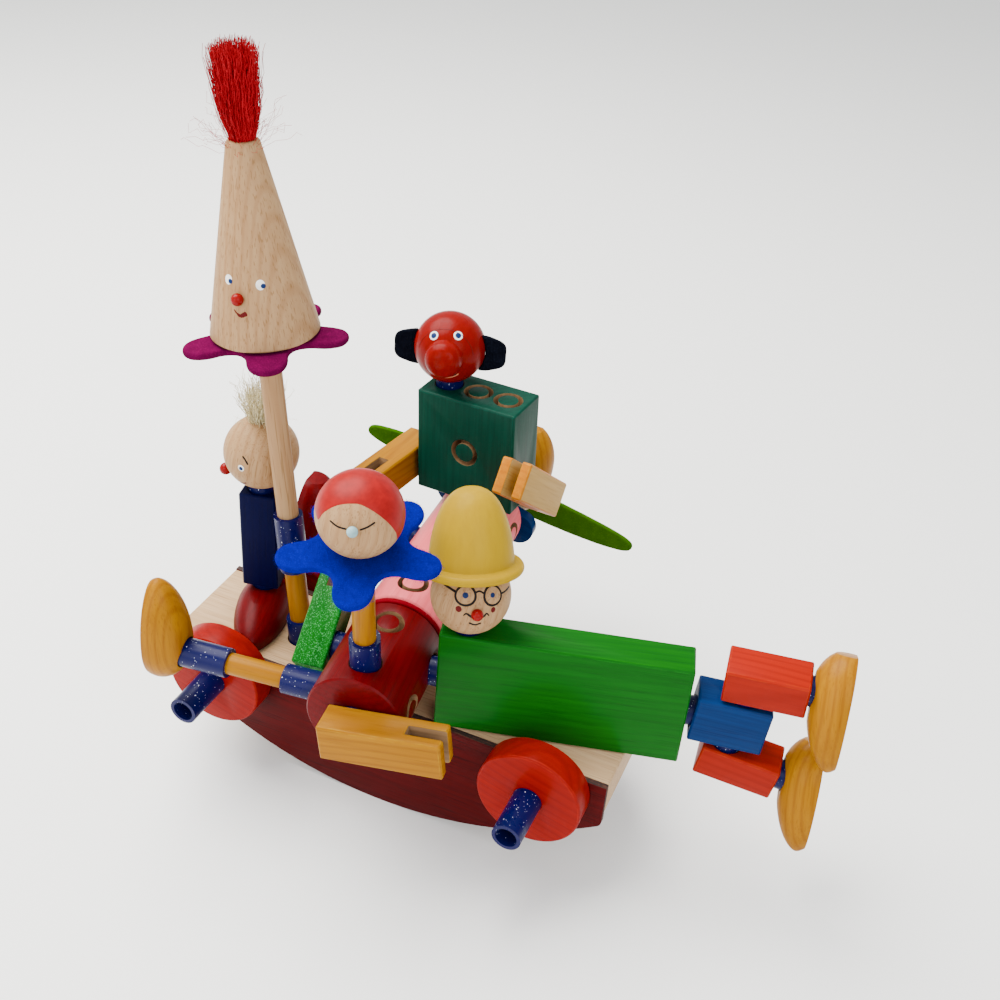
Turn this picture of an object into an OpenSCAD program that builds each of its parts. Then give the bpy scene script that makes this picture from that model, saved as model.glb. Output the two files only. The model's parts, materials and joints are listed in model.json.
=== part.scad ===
// Plug-in construction toy: turned and sawn wooden figures on a wheeled rocker,
// joined by short flexible tubes that push into ring grooves or over dowels.
// The origin is the middle of the deck's underside, +X along the deck, +Z up.

/* [Connector] */
// Outer radius of the flexible tubes
tube_r = 6.75; // [6.2:0.05:7]
// Inner radius of the flexible tubes, and of the bores that take a dowel
tube_bore_r = 5; // [4.6:0.05:5.4]
// Radial running clearance between a tube and what it grips
fit_gap = 0.05; // [0.02:0.01:0.09]
// Radial width left free outside a tube in its ring groove
groove_slack = 0.6; // [0.2:0.05:0.9]
// Depth of the ring grooves
groove_depth = 10; // [8:0.5:12]
// Space between two pieces that are plugged together
plug_gap = 3; // [2:0.25:5]
// Distance from the end of a piece to its first plug place
end_inset = 13.5; // [12:0.25:16]
// Length of a single piece, and half of a double piece
module_len = 55; // [50:1:60]
// Bevel on sawn and turned edges
edge = 0.8; // [0.4:0.1:1.2]

/* [Rocker] */
// Length of the deck
deck_l = 226; // [216:1:240]
// Width of the deck
deck_w = 52; // [46:1:60]
// Thickness of the deck
deck_t = 18; // [16:0.5:20]
// Thickness of the curved side panels
panel_t = 3; // [2.5:0.25:4]
// Height of a side panel at its middle
panel_h = 62.4; // [56:0.2:70]
// Radius of the rocking edge
rock_r = 183.7; // [170:0.5:200]
// Radius at the panel's lower corners
panel_corner_r = 4; // [2:0.5:6]
// Radius of a wheel
wheel_r = 24.7; // [22:0.1:27]
// Thickness of a wheel
wheel_t = 13.7; // [11:0.1:16]
// Distance of each wheel from the deck's middle
wheel_x = 81.7; // [74:0.1:88]
// Length of tube that stands out beyond a wheel
axle_out = 23.7; // [16:0.1:28]

/* [Cylinders] */
// Radius of the turned body cylinders
drum_r = 22; // [20:0.5:24]
// Turn of the front drum seen from above
drum_yaw = 7.3; // [4:0.1:9]
// Place of the drum's front face along the deck
drum_x = 6.7; // [2:0.1:10]
// Place of the drum's front face in front of the deck's middle
drum_y = -65; // [-68:0.1:-63]
// Thickness of the felt disc behind the drum
disc_t = 2.4; // [1.5:0.1:3]
// How far the felt disc stands out round the drum
disc_proud = 0.8; // [0:0.1:1.5]
// Turn of the long cylinder seen from above
pink_yaw = 3.7; // [2:0.1:6]
// Place of the long cylinder's front face along the deck
pink_x = -0.8; // [-2:0.1:1]
// Place of the long cylinder's front face in front of the deck's middle
pink_y = -6.4; // [-6.6:0.1:-5.5]

/* [Heads] */
// Radius of the ball heads
ball_r = 17.5; // [16.5:0.1:19]
// Space between a ball head and the block it is plugged on
head_gap = 0.6; // [0.4:0.1:2]
// Radius of the small ball noses
nose_r = 2.6; // [2:0.1:3.5]
// Radius of the pale blue nose
cap_nose_r = 2.2; // [1.5:0.1:3.5]
// Radius of the boy's ball nose
boy_nose_r = 2.9; // [2:0.1:4]
// Radius of the cone head's base
cone_base_r = 23.2; // [20:0.1:25]
// Radius of the cone head's top
cone_top_r = 6.8; // [5.5:0.1:8]
// Height of the cone head
cone_h = 81; // [72:0.5:86]
// Tip radius of the magenta collar, from the middle to the end of a lobe
collar_r = 36.5; // [32:0.5:40]
// Tip radius of the blue collar
blue_collar_r = 34.5; // [31:0.5:38]
// Thickness of the felt collars
felt_t = 3; // [2:0.1:3.5]

/* [Pole figure] */
// Place of the pole's foot along the deck
pole_x = -54.7; // [-56:0.1:-53]
// Place of the pole's foot across the deck
pole_y = -4.3; // [-5:0.1:-2]
// Lean of the pole to the left
pole_lean = 5.4; // [4.5:0.05:6.5]
// Visible length of the pole's lower tube
pole_low_tube = 12.5; // [10:0.5:16]
// Height on the pole where its upper tube starts
pole_tube_from = 42; // [38:0.5:46]
// Height on the pole where its upper tube ends
pole_tube_to = 72; // [66:0.5:76]
// Height on the pole of the cone head's base
pole_head_at = 164.5; // [160:0.5:172]

/* [Boy figure] */
// Place of the boy's foot plug along the deck
boy_x = -82.8; // [-84:0.1:-80]
// Place of the boy's foot plug across the deck
boy_y = 8.3; // [7:0.1:10]
// Space between the boy's body and his head
boy_head_gap = 2.2; // [0.5:0.1:3]
// Turn of the boy's body seen from above
boy_yaw = 12.9; // [8:0.1:16]
// Turn of the boy's shoe seen from above
boy_shoe_yaw = 18; // [12:0.5:20]
// Width of a square body block
block_w = 18; // [16.5:0.5:19]
// Height of the boy's body block
boy_h = 54; // [48:1:58]

/* [Shoes] */
// Length of a shoe
shoe_l = 52; // [48:0.5:55]
// Largest radius of a shoe
shoe_r = 13.5; // [12:0.1:14]
// Height of a shoe's long axis over its sole
shoe_axis = 3.5; // [2.5:0.1:4.5]
// Height of the small flat on a shoe's back, over its sole
shoe_top = 15.6; // [15:0.1:16]

/* [Arms] */
// Length of an arm
arm_l = 55; // [50:1:58]
// Height of an arm across its slot
arm_h = 18; // [16:0.5:19]
// Thickness of an arm along its plug
arm_t = 15.5; // [14:0.5:17]
// Width of the slot in an arm's hand end
slot_w = 5.6; // [4.5:0.1:6.5]
// Depth of that slot
slot_l = 17; // [13:0.5:20]
// Lift of the front arm's hand end
front_arm_lift = 7; // [2:0.5:9]
// Distance of the front arm's plug from its closed end
front_arm_inset = 9.5; // [9.5:0.25:14]
// Space between the drum and the front arm
front_arm_gap = 2; // [1.5:0.25:4]
// Distance of a hand arm's plug from the arm's closed end
hand_arm_inset = 9.5; // [9.5:0.25:14]
// Lift of the green arm
green_arm_lift = 36.8; // [30:0.5:44]
// Lift of the sitting figure's right arm
right_arm_lift = 39; // [30:0.5:42]
// Lift of that figure's left arm
left_arm_lift = 4; // [0:0.5:6]

/* [Lying figure with the hat] */
// Length of the long green body block
green_l = 111.5; // [106:0.5:115]
// Height of the long green body block
green_h = 54; // [48:1:56]
// Turn of the long green block seen from above
green_yaw = 15.4; // [12:0.1:16]
// Clearance under the long green block
green_lift = 0.3; // [0.2:0.1:0.6]
// Length of the blue hip block
hip_l = 33; // [30:0.5:36]
// Height of the blue hip block
hip_h = 24; // [21:0.5:27]
// Length of a short orange leg block
short_leg_l = 36; // [32:0.5:40]
// Radius of the hat's crown where it meets the brim
crown_r = 18.6; // [18:0.1:20]
// Height of the hat's crown
crown_h = 35; // [31:0.5:38]
// Outer radius of the hat's brim
brim_r = 22.8; // [21:0.1:25]
// Thickness of the hat's brim
brim_t = 4; // [3:0.1:5]
// Height of the brim over the head's middle
hat_at = 12.6; // [10:0.1:13]
// Distance of the lying figure's head from the block's end
hat_head_inset = 11.5; // [11:0.25:15]
// Distance of the lying figure's shoe plugs from the heel end
leg_shoe_inset = 18.5; // [16:0.5:20]
// Outward lean of the lower of those shoes
lower_shoe_lean = 9; // [6:0.5:10]
// Backward tilt of the hat
hat_tilt = 18; // [12:0.5:22]

/* [Sitting figure with the ears] */
// Width of the dark green body block
tail_w = 54; // [50:1:56]
// Depth of the dark green body block
tail_d = 27; // [24:0.5:30]
// Height of the dark green body block
tail_h = 56.5; // [51:0.5:58]
// Distance between the ring grooves on the block's top
ring_pitch = 16.5; // [15.5:0.1:17]
// Space between the pink cylinder and the block
tail_gap = 2; // [1.5:0.25:4]
// Height of the hand arms' plugs over the block's foot
arm_plug_up = 9.5; // [9.5:0.25:14]
// Height of the back shoe's plug over the block's foot
back_shoe_up = 9.5; // [9:0.25:12]
// Space between the block and the head above it
tail_head_gap = 2.6; // [2:0.1:5]
// Length of the round-ended dark blue bar
bar_l = 58; // [52:1:60]
// Thickness of the round-ended dark blue bar
bar_t = 6.5; // [6:0.25:6.5]
// Length of tube between the block and the shoe on its back
back_shoe_gap = 8.5; // [8:0.5:9]
// Length of the felt leaf
leaf_l = 160; // [145:1:165]
// Width of the felt leaf
leaf_w = 17.5; // [16:0.25:20]
// Radius of the leaf's eye around the tube
leaf_eye_r = 11; // [10:0.25:12]

/* [Hidden] */

$fn = 64;
touch = 0.3;
dowel_r = tube_bore_r - fit_gap;
groove_r = tube_r + groove_slack;
wheel_bore_r = tube_r + fit_gap;
plug_in = groove_depth - touch;
panel_y = deck_w / 2 + panel_t;
panel_end_h = panel_h - rock_r + sqrt(rock_r * rock_r - deck_l * deck_l / 4);
wheel_z = deck_t / 2;
double_len = 2 * module_len;
drum_to_pink = 4;
stations = [end_inset, module_len - end_inset, module_len + end_inset,
    double_len - end_inset];
drum_z = plug_gap + drum_r;
shoe_h = shoe_axis + shoe_r;

// Turns local +Z to one of the six directions of the frame it is used in
module face_to(side) {
    turns = side == "right" ? [0, 90, 0] : side == "left" ? [0, -90, 0]
        : side == "back" ? [-90, 0, 0] : side == "front" ? [90, 0, 0]
        : side == "down" ? [180, 0, 0] : [0, 0, 0];
    rotate(turns) children();
}

// The ring groove that a tube pushes into, cut down from z = 0
module ring_groove(depth = groove_depth) {
    translate([0, 0, -depth])
        difference() {
            cylinder(r = groove_r, h = depth + drum_r);
            translate([0, 0, -1])
                cylinder(r = dowel_r, h = depth + drum_r + 2);
        }
}

// A flexible tube from one height to another
module tube(from, to) {
    color("darkblue")
        translate([0, 0, from])
            difference() {
                cylinder(r = tube_r, h = to - from);
                translate([0, 0, -1])
                    cylinder(r = tube_bore_r, h = to - from + 2);
            }
}

// The tube that joins two pieces across a gap that starts at z = 0
module plug(gap = plug_gap, below = plug_in, above = plug_in) {
    tube(-below, gap + above);
}

module dowel(from, to) {
    translate([0, 0, from])
        cylinder(r = dowel_r, h = to - from);
}

// Square outline with bevelled corners
module bevelled_square(w, h) {
    polygon([[-w / 2 + edge, -h / 2], [w / 2 - edge, -h / 2], [w / 2, -h / 2 + edge],
        [w / 2, h / 2 - edge], [w / 2 - edge, h / 2], [-w / 2 + edge, h / 2],
        [-w / 2, h / 2 - edge], [-w / 2, -h / 2 + edge]]);
}

// Sawn block with every edge bevelled, centred on the origin
module block(l, w, h) {
    intersection() {
        linear_extrude(h, center = true)
            bevelled_square(l, w);
        rotate([90, 0, 0])
            linear_extrude(w, center = true)
                bevelled_square(l, h);
        rotate([90, 0, 90])
            linear_extrude(l, center = true)
                bevelled_square(w, h);
    }
}

// Turned cylinder with bevelled rims, from z = 0 up
module turned(r, h) {
    rotate_extrude($fn = 96)
        polygon([[0, 0], [r - edge, 0], [r, edge], [r, h - edge], [r - edge, h], [0, h]]);
}

// Half-egg shoe: its plug axis is +Z at the origin, its sole is z = 0, its toe points to +X.
// With a lean the body turns about its top face, and the groove keeps to the plug axis.
module shoe(inset = end_inset, lean = 0) {
    widest = 0.35 * shoe_l;
    heel = widest * 1.1;
    toe = shoe_l - widest;
    heel_side = [for (i = [0:10]) let (x = -widest + widest * i / 10)
        [x, shoe_r * sqrt(1 - pow(x / heel, 2))]];
    toe_side = [for (i = [1:16]) let (x = toe * sin(90 * i / 16))
        [x, shoe_r * pow(max(0, 1 - pow(x / toe, 2)), 0.62)]];
    outline = concat([[-widest, 0]], heel_side, toe_side);
    difference() {
        translate([0, 0, shoe_top])
            rotate([0, lean, 0])
                translate([0, 0, -shoe_top])
                    intersection() {
                        translate([widest - inset, 0, shoe_axis])
                            rotate([90, 0, 90])
                                rotate_extrude($fn = 72)
                                    polygon([for (p = outline) [p[1], p[0]]]);
                        translate([-shoe_l, -shoe_l, 0])
                            cube([3 * shoe_l, 2 * shoe_l, shoe_top]);
                    }
        translate([0, 0, shoe_top])
            ring_groove();
    }
}

// Arm with a slotted hand: its plug axis is Y at the origin, its hand points to +X
module arm(side = 1, inset = end_inset) {
    difference() {
        translate([arm_l / 2 - inset, 0, 0])
            block(arm_l, arm_t, arm_h);
        translate([arm_l - inset - slot_l, -slot_w / 2, -arm_h])
            cube([slot_l + 1, slot_w, 2 * arm_h]);
        translate([0, side * arm_t / 2, 0])
            face_to(side > 0 ? "back" : "front")
                ring_groove();
    }
}

// Ball head with a ring groove at the foot of its axis; its middle is the origin
module ball_head() {
    difference() {
        sphere(r = ball_r, $fn = 96);
        rotate([180, 0, 0])
            translate([0, 0, ball_r])
                ring_groove();
    }
}

// Turns +Z from straight up to an azimuth measured from the front towards the right
module look(azimuth, elevation) {
    rotate([0, 0, azimuth])
        rotate([90 - elevation, 0, 0])
            children();
}

// Small ball nose, sunk a little into its head
module ball_nose(azimuth, elevation, r = nose_r) {
    color("red")
        difference() {
            look(azimuth, elevation)
                translate([0, 0, ball_r + r * 0.55])
                    union() {
                        sphere(r = r);
                        translate([0, 0, -r])
                            cylinder(r = r * 0.8, h = r);
                    }
            sphere(r = ball_r, $fn = 96);
        }
}

// Five-lobed felt collar round the Z axis, resting on z = 0, with a lobe to the front
module collar(tip_r) {
    lobe_r = tip_r * 0.235;
    linear_extrude(felt_t)
        difference() {
            union() {
                circle(r = tip_r * 0.55);
                for (i = [0:4])
                    rotate(72 * i - 90) {
                        translate([tip_r - lobe_r, 0])
                            circle(r = lobe_r, $fn = 40);
                        translate([0, -lobe_r])
                            square([tip_r - lobe_r, 2 * lobe_r]);
                    }
            }
            circle(r = dowel_r + touch);
        }
}

// Tuft of hair: a closed flame shape on the Z axis
module tuft(root_r, mid_r, tip_r, h) {
    rotate_extrude($fn = 24)
        polygon([[0, 0], [root_r, 0], [root_r, 6], [mid_r * 0.8, h * 0.35], [mid_r, h * 0.6],
            [mid_r * 0.85, h * 0.85], [tip_r, h], [0, h]]);
}

// Frames of the sub-assemblies: each places its children where that piece is
module at_drum(along = 0, up = 0) {
    translate([drum_x, drum_y, deck_t + drum_z])
        rotate([0, 0, drum_yaw])
            translate([0, along, up])
                children();
}

module at_pink(along = 0, up = 0) {
    translate([pink_x, pink_y, deck_t + drum_z])
        rotate([0, 0, pink_yaw])
            translate([0, along, up])
                children();
}

module at_boy(up = 0, yaw = boy_yaw) {
    translate([boy_x, boy_y, deck_t + up])
        rotate([0, 0, yaw])
            children();
}

module at_pole(up = 0) {
    translate([pole_x, pole_y, deck_t])
        rotate([0, -pole_lean, 0])
            translate([0, 0, up])
                children();
}

// The long green block's left end, at the height of its plug
module at_green() {
    at_drum(stations[1])
        translate([drum_r + plug_gap, green_side, 0])
            rotate([0, 0, green_yaw - drum_yaw])
                children();
}

green_side = 0.3;
green_groove = 6;
green_mid_z = green_h / 2 + green_lift - drum_z;
hip_turn = [-1.1, 4.4, -0.9];

// The hip block's left end, at the height of its plug
module at_hip() {
    at_green()
        translate([green_l + plug_gap, 0, 2])
            rotate(hip_turn)
                children();
}

leg_plug_x = 0.6 * hip_l;
upper_leg_turn = [6.5, -5.7, -6.5];
lower_leg_turn = [6.9, 3.5, -7.3];
upper_toe_turn = 34;
lower_toe_turn = 34;

// The upper leg's plug place on top of the hip
module at_upper_leg() {
    at_hip()
        translate([leg_plug_x, 0, hip_h / 2 + plug_gap])
            children();
}

module at_lower_leg() {
    at_hip()
        translate([leg_plug_x - 1, 0, -hip_h / 2 - plug_gap])
            children();
}

upper_leg_back = 10;
lower_leg_back = 9.5;
upper_shoe_gap = 1.2;
lower_shoe_gap = 2.5;

module at_upper_shoe() {
    at_upper_leg()
        rotate(upper_leg_turn)
            translate([short_leg_l - upper_leg_back, 0, block_w / 2])
                children();
}

module at_lower_shoe() {
    at_lower_leg()
        rotate(lower_leg_turn)
            translate([short_leg_l - lower_leg_back, 0, -block_w / 2])
                children();
}

tail_tilt = 2.4;
tail_turn = -8.5;
tail_shift = 0.7;

// The dark green block's middle, over the long cylinder's last plug place
module at_tail_block() {
    at_pink(stations[3])
        rotate([0, -tail_tilt, 0])
            translate([tail_shift, 0, drum_r + tail_gap + tail_h / 2])
                rotate([0, 0, tail_turn])
                    children();
}

leg_out = 63;
left_leg_tube_in = 15.5;
shoe_tube_len = 16.5;

// Foot end of the left leg: +Z points away from the drum
module at_left_leg(out = 0) {
    at_drum(stations[0])
        face_to("left")
            translate([0, 0, drum_r + out])
                children();
}

back_leg_lift = 8;
back_leg_out = 46;

module at_back_leg(out = 0) {
    at_pink(stations[2])
        rotate([0, back_leg_lift, 0])
            face_to("left")
                translate([0, 0, drum_r + out])
                    children();
}

// Outline of a side panel in X and Z
module panel_outline() {
    centre_z = rock_r - panel_h;
    corner_x = deck_l / 2 - panel_corner_r;
    reach = rock_r - panel_corner_r;
    corner_z = centre_z - sqrt(reach * reach - corner_x * corner_x);
    tangent_x = corner_x * rock_r / reach;
    intersection() {
        translate([0, centre_z])
            circle(r = rock_r, $fn = 360);
        translate([-tangent_x, -panel_h - 1])
            square([2 * tangent_x, panel_h + 1]);
    }
    for (s = [-1, 1]) {
        translate([s * corner_x, corner_z])
            circle(r = panel_corner_r);
        translate([s > 0 ? 0 : -deck_l / 2, corner_z])
            square([deck_l / 2, -corner_z]);
    }
}

module rocker_panel(y) {
    color("maroon")
        difference() {
            translate([0, y, deck_t])
                rotate([90, 0, 0])
                    linear_extrude(panel_t)
                        panel_outline();
            for (s = [-1, 1])
                translate([s * wheel_x, y + 1, wheel_z])
                    rotate([90, 0, 0])
                        cylinder(r = groove_r, h = panel_t + 2);
        }
}

module wheel(sx, sy) {
    color(sy < 0 ? "orangered" : "darkred")
        translate([sx * wheel_x, sy * (panel_y + touch), wheel_z])
            face_to(sy < 0 ? "front" : "back")
                difference() {
                    turned(wheel_r, wheel_t);
                    translate([0, 0, -1])
                        cylinder(r = wheel_bore_r, h = wheel_t + 2);
                }
}

module deck() {
    color("burlywood")
        difference() {
            translate([0, 0, deck_t / 2])
                block(deck_l, deck_w, deck_t);
            for (sx = [-1, 1])
                for (sy = [-1, 1])
                    translate([sx * wheel_x, sy * deck_w / 2, wheel_z])
                        face_to(sy < 0 ? "front" : "back")
                            ring_groove();
            at_boy()
                ring_groove(shoe_bottom_in + touch);
            at_pole()
                ring_groove();
            at_pink(stations[0], -drum_z)
                ring_groove();
        }
}

shoe_bottom_in = 5;

module front_rocker_panel() {
    rocker_panel(-deck_w / 2);
}

module back_rocker_panel() {
    rocker_panel(panel_y);
}

module axle_tubes() {
    for (sx = [-1, 1])
        for (sy = [-1, 1])
            translate([sx * wheel_x, sy * deck_w / 2, wheel_z])
                face_to(sy < 0 ? "front" : "back")
                    tube(-plug_in, panel_t + touch + wheel_t + axle_out);
}

module wheel_front_left() {
    wheel(-1, -1);
}

module wheel_front_right() {
    wheel(1, -1);
}

module wheel_back_left() {
    wheel(-1, 1);
}

module wheel_back_right() {
    wheel(1, 1);
}

boy_body_z = shoe_top + plug_gap;
boy_head_z = boy_body_z + boy_h + boy_head_gap + ball_r;

module boy_shoe() {
    color("firebrick")
        at_boy(0, boy_shoe_yaw)
            difference() {
                rotate([0, 0, -90])
                    shoe();
                rotate([180, 0, 0])
                    ring_groove(shoe_bottom_in - 1 + touch);
            }
}

module boy_body() {
    color("midnightblue")
        at_boy(boy_body_z)
            difference() {
                translate([0, 0, boy_h / 2])
                    block(block_w, block_w, boy_h);
                translate([0, 0, boy_h])
                    ring_groove();
                rotate([180, 0, 0])
                    ring_groove();
            }
}

module boy_tubes() {
    at_boy()
        tube(-shoe_bottom_in, shoe_bottom_in - 1);
    at_boy(shoe_top)
        plug();
    at_boy(boy_body_z + boy_h)
        plug(boy_head_gap);
}

module boy_head() {
    color("tan")
        at_boy(boy_head_z)
            difference() {
                ball_head();
                look(-boy_yaw, 90)
                    translate([0, 0, ball_r - 6])
                        cylinder(r = 3, h = 8);
            }
}

module boy_nose() {
    at_boy(boy_head_z, 0)
        ball_nose(-58, -29, boy_nose_r);
}

module boy_hair() {
    color("wheat")
        at_boy(boy_head_z + ball_r - 5.7)
            tuft(2.6, 6, 2.5, 26);
}

upper_dowel_from = (pole_tube_from + pole_tube_to) / 2;
cone_bore = 14;

module pole_tubes() {
    at_pole() {
        tube(-plug_in, pole_low_tube);
        tube(pole_tube_from, pole_tube_to);
    }
}

module pole_lower_dowel() {
    color("goldenrod")
        at_pole()
            dowel(touch + dowel_r * tan(pole_lean), upper_dowel_from - touch);
}

module pole_upper_dowel() {
    color("burlywood")
        at_pole()
            dowel(upper_dowel_from, pole_head_at + cone_bore - 1);
}

module magenta_collar() {
    color("mediumvioletred")
        at_pole(pole_head_at - touch - felt_t)
            rotate([0, 0, 33])
                collar(collar_r);
}

module cone_head() {
    color("tan")
        at_pole(pole_head_at)
            difference() {
                rotate_extrude($fn = 96)
                    polygon([[0, 0], [cone_base_r - edge, 0], [cone_base_r, edge],
                        [cone_top_r, cone_h - edge], [cone_top_r - edge, cone_h], [0, cone_h]]);
                translate([0, 0, -1])
                    cylinder(r = tube_bore_r, h = cone_bore + 1);
                translate([0, 0, cone_h - 6])
                    cylinder(r = 3, h = 7);
            }
}

cone_nose_up = 22;

module cone_nose() {
    slope = atan((cone_base_r - cone_top_r) / cone_h);
    wall_r = cone_base_r - (cone_base_r - cone_top_r) * cone_nose_up / cone_h;
    color("red")
        at_pole(pole_head_at)
            difference() {
                rotate([0, 0, 6.5])
                    translate([0, -wall_r, cone_nose_up])
                        rotate([90 - slope, 0, 0])
                            union() {
                                translate([0, 0, nose_r * 0.6])
                                    sphere(r = nose_r);
                                translate([0, 0, -1])
                                    cylinder(r = nose_r * 0.8, h = nose_r * 0.6 + 1);
                            }
                rotate_extrude($fn = 96)
                    polygon([[0, 0], [cone_base_r - edge, 0], [cone_base_r, edge],
                        [cone_top_r, cone_h - edge], [cone_top_r - edge, cone_h], [0, cone_h]]);
            }
}

module cone_hair() {
    color("crimson")
        at_pole(pole_head_at + cone_h - 5.7)
            tuft(2.6, 9, 5, 43);
}

neck_tube_up = 14.5;
neck_lean = 6.2;
neck_len = 64;
cap_head_bore = 14;

// Foot of the neck on the drum; the neck leans to the front
module at_neck(up = 0) {
    at_drum(stations[0], drum_r)
        rotate([neck_lean, 0, 0])
            translate([0, 0, up])
                children();
}

module drum() {
    color("brown")
        difference() {
            at_drum()
                rotate([-90, 0, 0])
                    turned(drum_r, module_len);
            at_neck()
                ring_groove();
            at_drum(stations[1], drum_r)
                ring_groove();
            for (along = [stations[0], stations[1]])
                for (side = ["left", "right"])
                    at_drum(along)
                        translate([side == "left" ? -drum_r : drum_r, 0, 0])
                            face_to(side)
                                ring_groove();
            at_drum()
                face_to("front")
                    ring_groove();
            at_drum(module_len)
                face_to("back")
                    ring_groove();
        }
}

module crimson_disc() {
    color("crimson")
        at_drum(module_len + touch / 2)
            rotate([-90, 0, 0])
                difference() {
                    cylinder(r = drum_r + disc_proud, h = disc_t, $fn = 96);
                    translate([0, 0, -1])
                        cylinder(r = tube_r + touch, h = disc_t + 2);
                }
}

module drum_tubes() {
    at_neck()
        tube(-plug_in, neck_tube_up);
    at_drum()
        face_to("front")
            plug(front_arm_gap);
    at_drum(stations[1])
        translate([-drum_r, 0, 0])
            face_to("left")
                plug();
    at_drum(stations[1])
        translate([drum_r, 0, 0])
            face_to("right")
                plug(plug_gap, plug_in, green_groove - touch);
    at_drum(module_len)
        face_to("back")
            plug(drum_to_pink, plug_in, plug_in - 1);
}

module neck_dowel() {
    color("goldenrod")
        at_neck()
            dowel(touch + dowel_r * tan(neck_lean), neck_len + felt_t + 2 * touch + cap_head_bore - 1);
}

module blue_collar() {
    color("blue")
        at_neck(neck_len)
            rotate([0, 0, 14])
                collar(blue_collar_r);
}

cap_head_up = neck_len + felt_t + touch + ball_r - 1;

module cap_head() {
    color("tan")
        at_neck(cap_head_up)
            difference() {
                sphere(r = ball_r, $fn = 96);
                translate([0, 0, -ball_r - 1])
                    cylinder(r = tube_bore_r, h = cap_head_bore + 2);
                translate([0, 0, -ball_r - 1])
                    cylinder(r = dowel_r + 2, h = 2);
            }
}

module cap_head_nose() {
    color("lightblue")
        at_neck(cap_head_up)
            ball_nose(19.9 - drum_yaw, 13 + neck_lean, cap_nose_r);
}

left_dowel_from = 6;
left_shoe_at = leg_out;

module left_leg_dowel() {
    color("goldenrod")
        at_left_leg()
            dowel(touch, left_shoe_at - touch);
}

module left_leg_tube() {
    at_left_leg() {
        tube(-plug_in, left_leg_tube_in);
        tube(left_shoe_at - shoe_tube_len - 4, left_shoe_at + plug_in - 0.5);
    }
}

module left_shoe() {
    color("goldenrod")
        at_left_leg(left_shoe_at + shoe_top)
            rotate([180, 0, 0])
                shoe();
}

module front_arm() {
    color("gold")
        at_drum(-front_arm_gap - arm_t / 2)
            rotate([0, -front_arm_lift, 0])
                arm(1, front_arm_inset);
}

module green_arm() {
    color("green")
        at_drum(stations[1])
            translate([-drum_r - plug_gap - arm_t / 2, 0, 0])
                rotate([0, 0, 90])
                    rotate([0, -green_arm_lift, 0])
                        arm(-1);
}

module pink_cylinder() {
    color("pink")
        difference() {
            at_pink()
                rotate([-90, 0, 0])
                    turned(drum_r, double_len);
            at_drum(module_len + drum_to_pink)
                face_to("front")
                    ring_groove();
            at_pink(double_len)
                face_to("back")
                    ring_groove();
            at_pink(stations[0], drum_r)
                ring_groove();
            at_pink(stations[0], -drum_r)
                face_to("down")
                    ring_groove();
            at_pink(stations[3])
                translate([drum_r, 0, 0])
                    face_to("right")
                        ring_groove();
            at_pink(stations[3])
                rotate([0, -tail_tilt, 0])
                    translate([0, 0, drum_r])
                        ring_groove();
            at_back_leg()
                ring_groove();
        }
}

module pink_tubes() {
    at_pink(stations[0], -drum_r)
        face_to("down")
            plug();
    at_pink(double_len)
        face_to("back")
            tube(-plug_in, leaf_at + felt_t + 3);
}

module back_leg_dowel() {
    color("goldenrod")
        at_back_leg()
            dowel(touch, back_leg_out - touch);
}

module back_leg_tube() {
    at_back_leg() {
        tube(-plug_in, left_leg_tube_in);
        tube(back_leg_out - shoe_tube_len, back_leg_out + plug_in - 0.5);
    }
}

module dark_red_shoe() {
    color("darkred")
        at_back_leg(back_leg_out + shoe_top)
            rotate([180, 0, 180])
                shoe();
}

bar_turn = 20;

module dark_blue_bar() {
    end_r = block_w / 2;
    color("navy")
        at_pink(double_len + plug_gap)
            rotate([-90, 0, 0])
                rotate([0, 0, bar_turn])
                    difference() {
                        linear_extrude(bar_t)
                            union() {
                                square([bar_l - block_w, block_w], center = true);
                                for (s = [-1, 1])
                                    translate([s * (bar_l / 2 - end_r), 0])
                                        circle(r = end_r);
                            }
                        translate([0, 0, -1])
                            cylinder(r = wheel_bore_r, h = bar_t + 2);
                    }
}

leaf_tilt = 13.6;
leaf_at = 25;
leaf_bluntness = 0.35;

module leaf_felt() {
    steps = 48;
    blade = [for (i = [0:steps]) let (u = cos(180 * i / steps))
        [u * leaf_l / 2, leaf_w / 2 * pow(max(0, 1 - u * u), leaf_bluntness)]];
    color("olivedrab")
        at_pink(double_len + leaf_at)
            rotate([-90, 0, 0])
                rotate([0, 0, leaf_tilt])
                    linear_extrude(felt_t)
                        difference() {
                            union() {
                                polygon(concat(blade,
                                    [for (i = [1:steps - 1]) let (q = blade[steps - i]) [q[0], -q[1]]]));
                                circle(r = leaf_eye_r);
                            }
                            circle(r = tube_r + touch);
                        }
}

module green_block() {
    color("forestgreen")
        difference() {
            at_green()
                translate([green_l / 2, 0, green_mid_z])
                    block(green_l, block_w, green_h);
            at_drum(stations[1])
                translate([drum_r + plug_gap, 0, 0])
                    face_to("left")
                        ring_groove(green_groove);
            at_green()
                translate([green_l, 0, 0])
                    face_to("right")
                        ring_groove();
            at_hat_head(-ball_r - head_gap)
                ring_groove();
        }
}

module at_hat_head(up = 0) {
    at_green()
        translate([hat_head_inset, 0, green_mid_z + green_h / 2 + head_gap + ball_r + up])
            children();
}

module green_block_tubes() {
    at_hat_head(-ball_r - head_gap)
        plug(head_gap);
    at_green()
        translate([green_l, 0, 0])
            face_to("right")
                plug(plug_gap, plug_in, hip_groove - 1);
}

module hat_head() {
    color("tan")
        at_hat_head()
            ball_head();
}

hat_face = 33;

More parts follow.
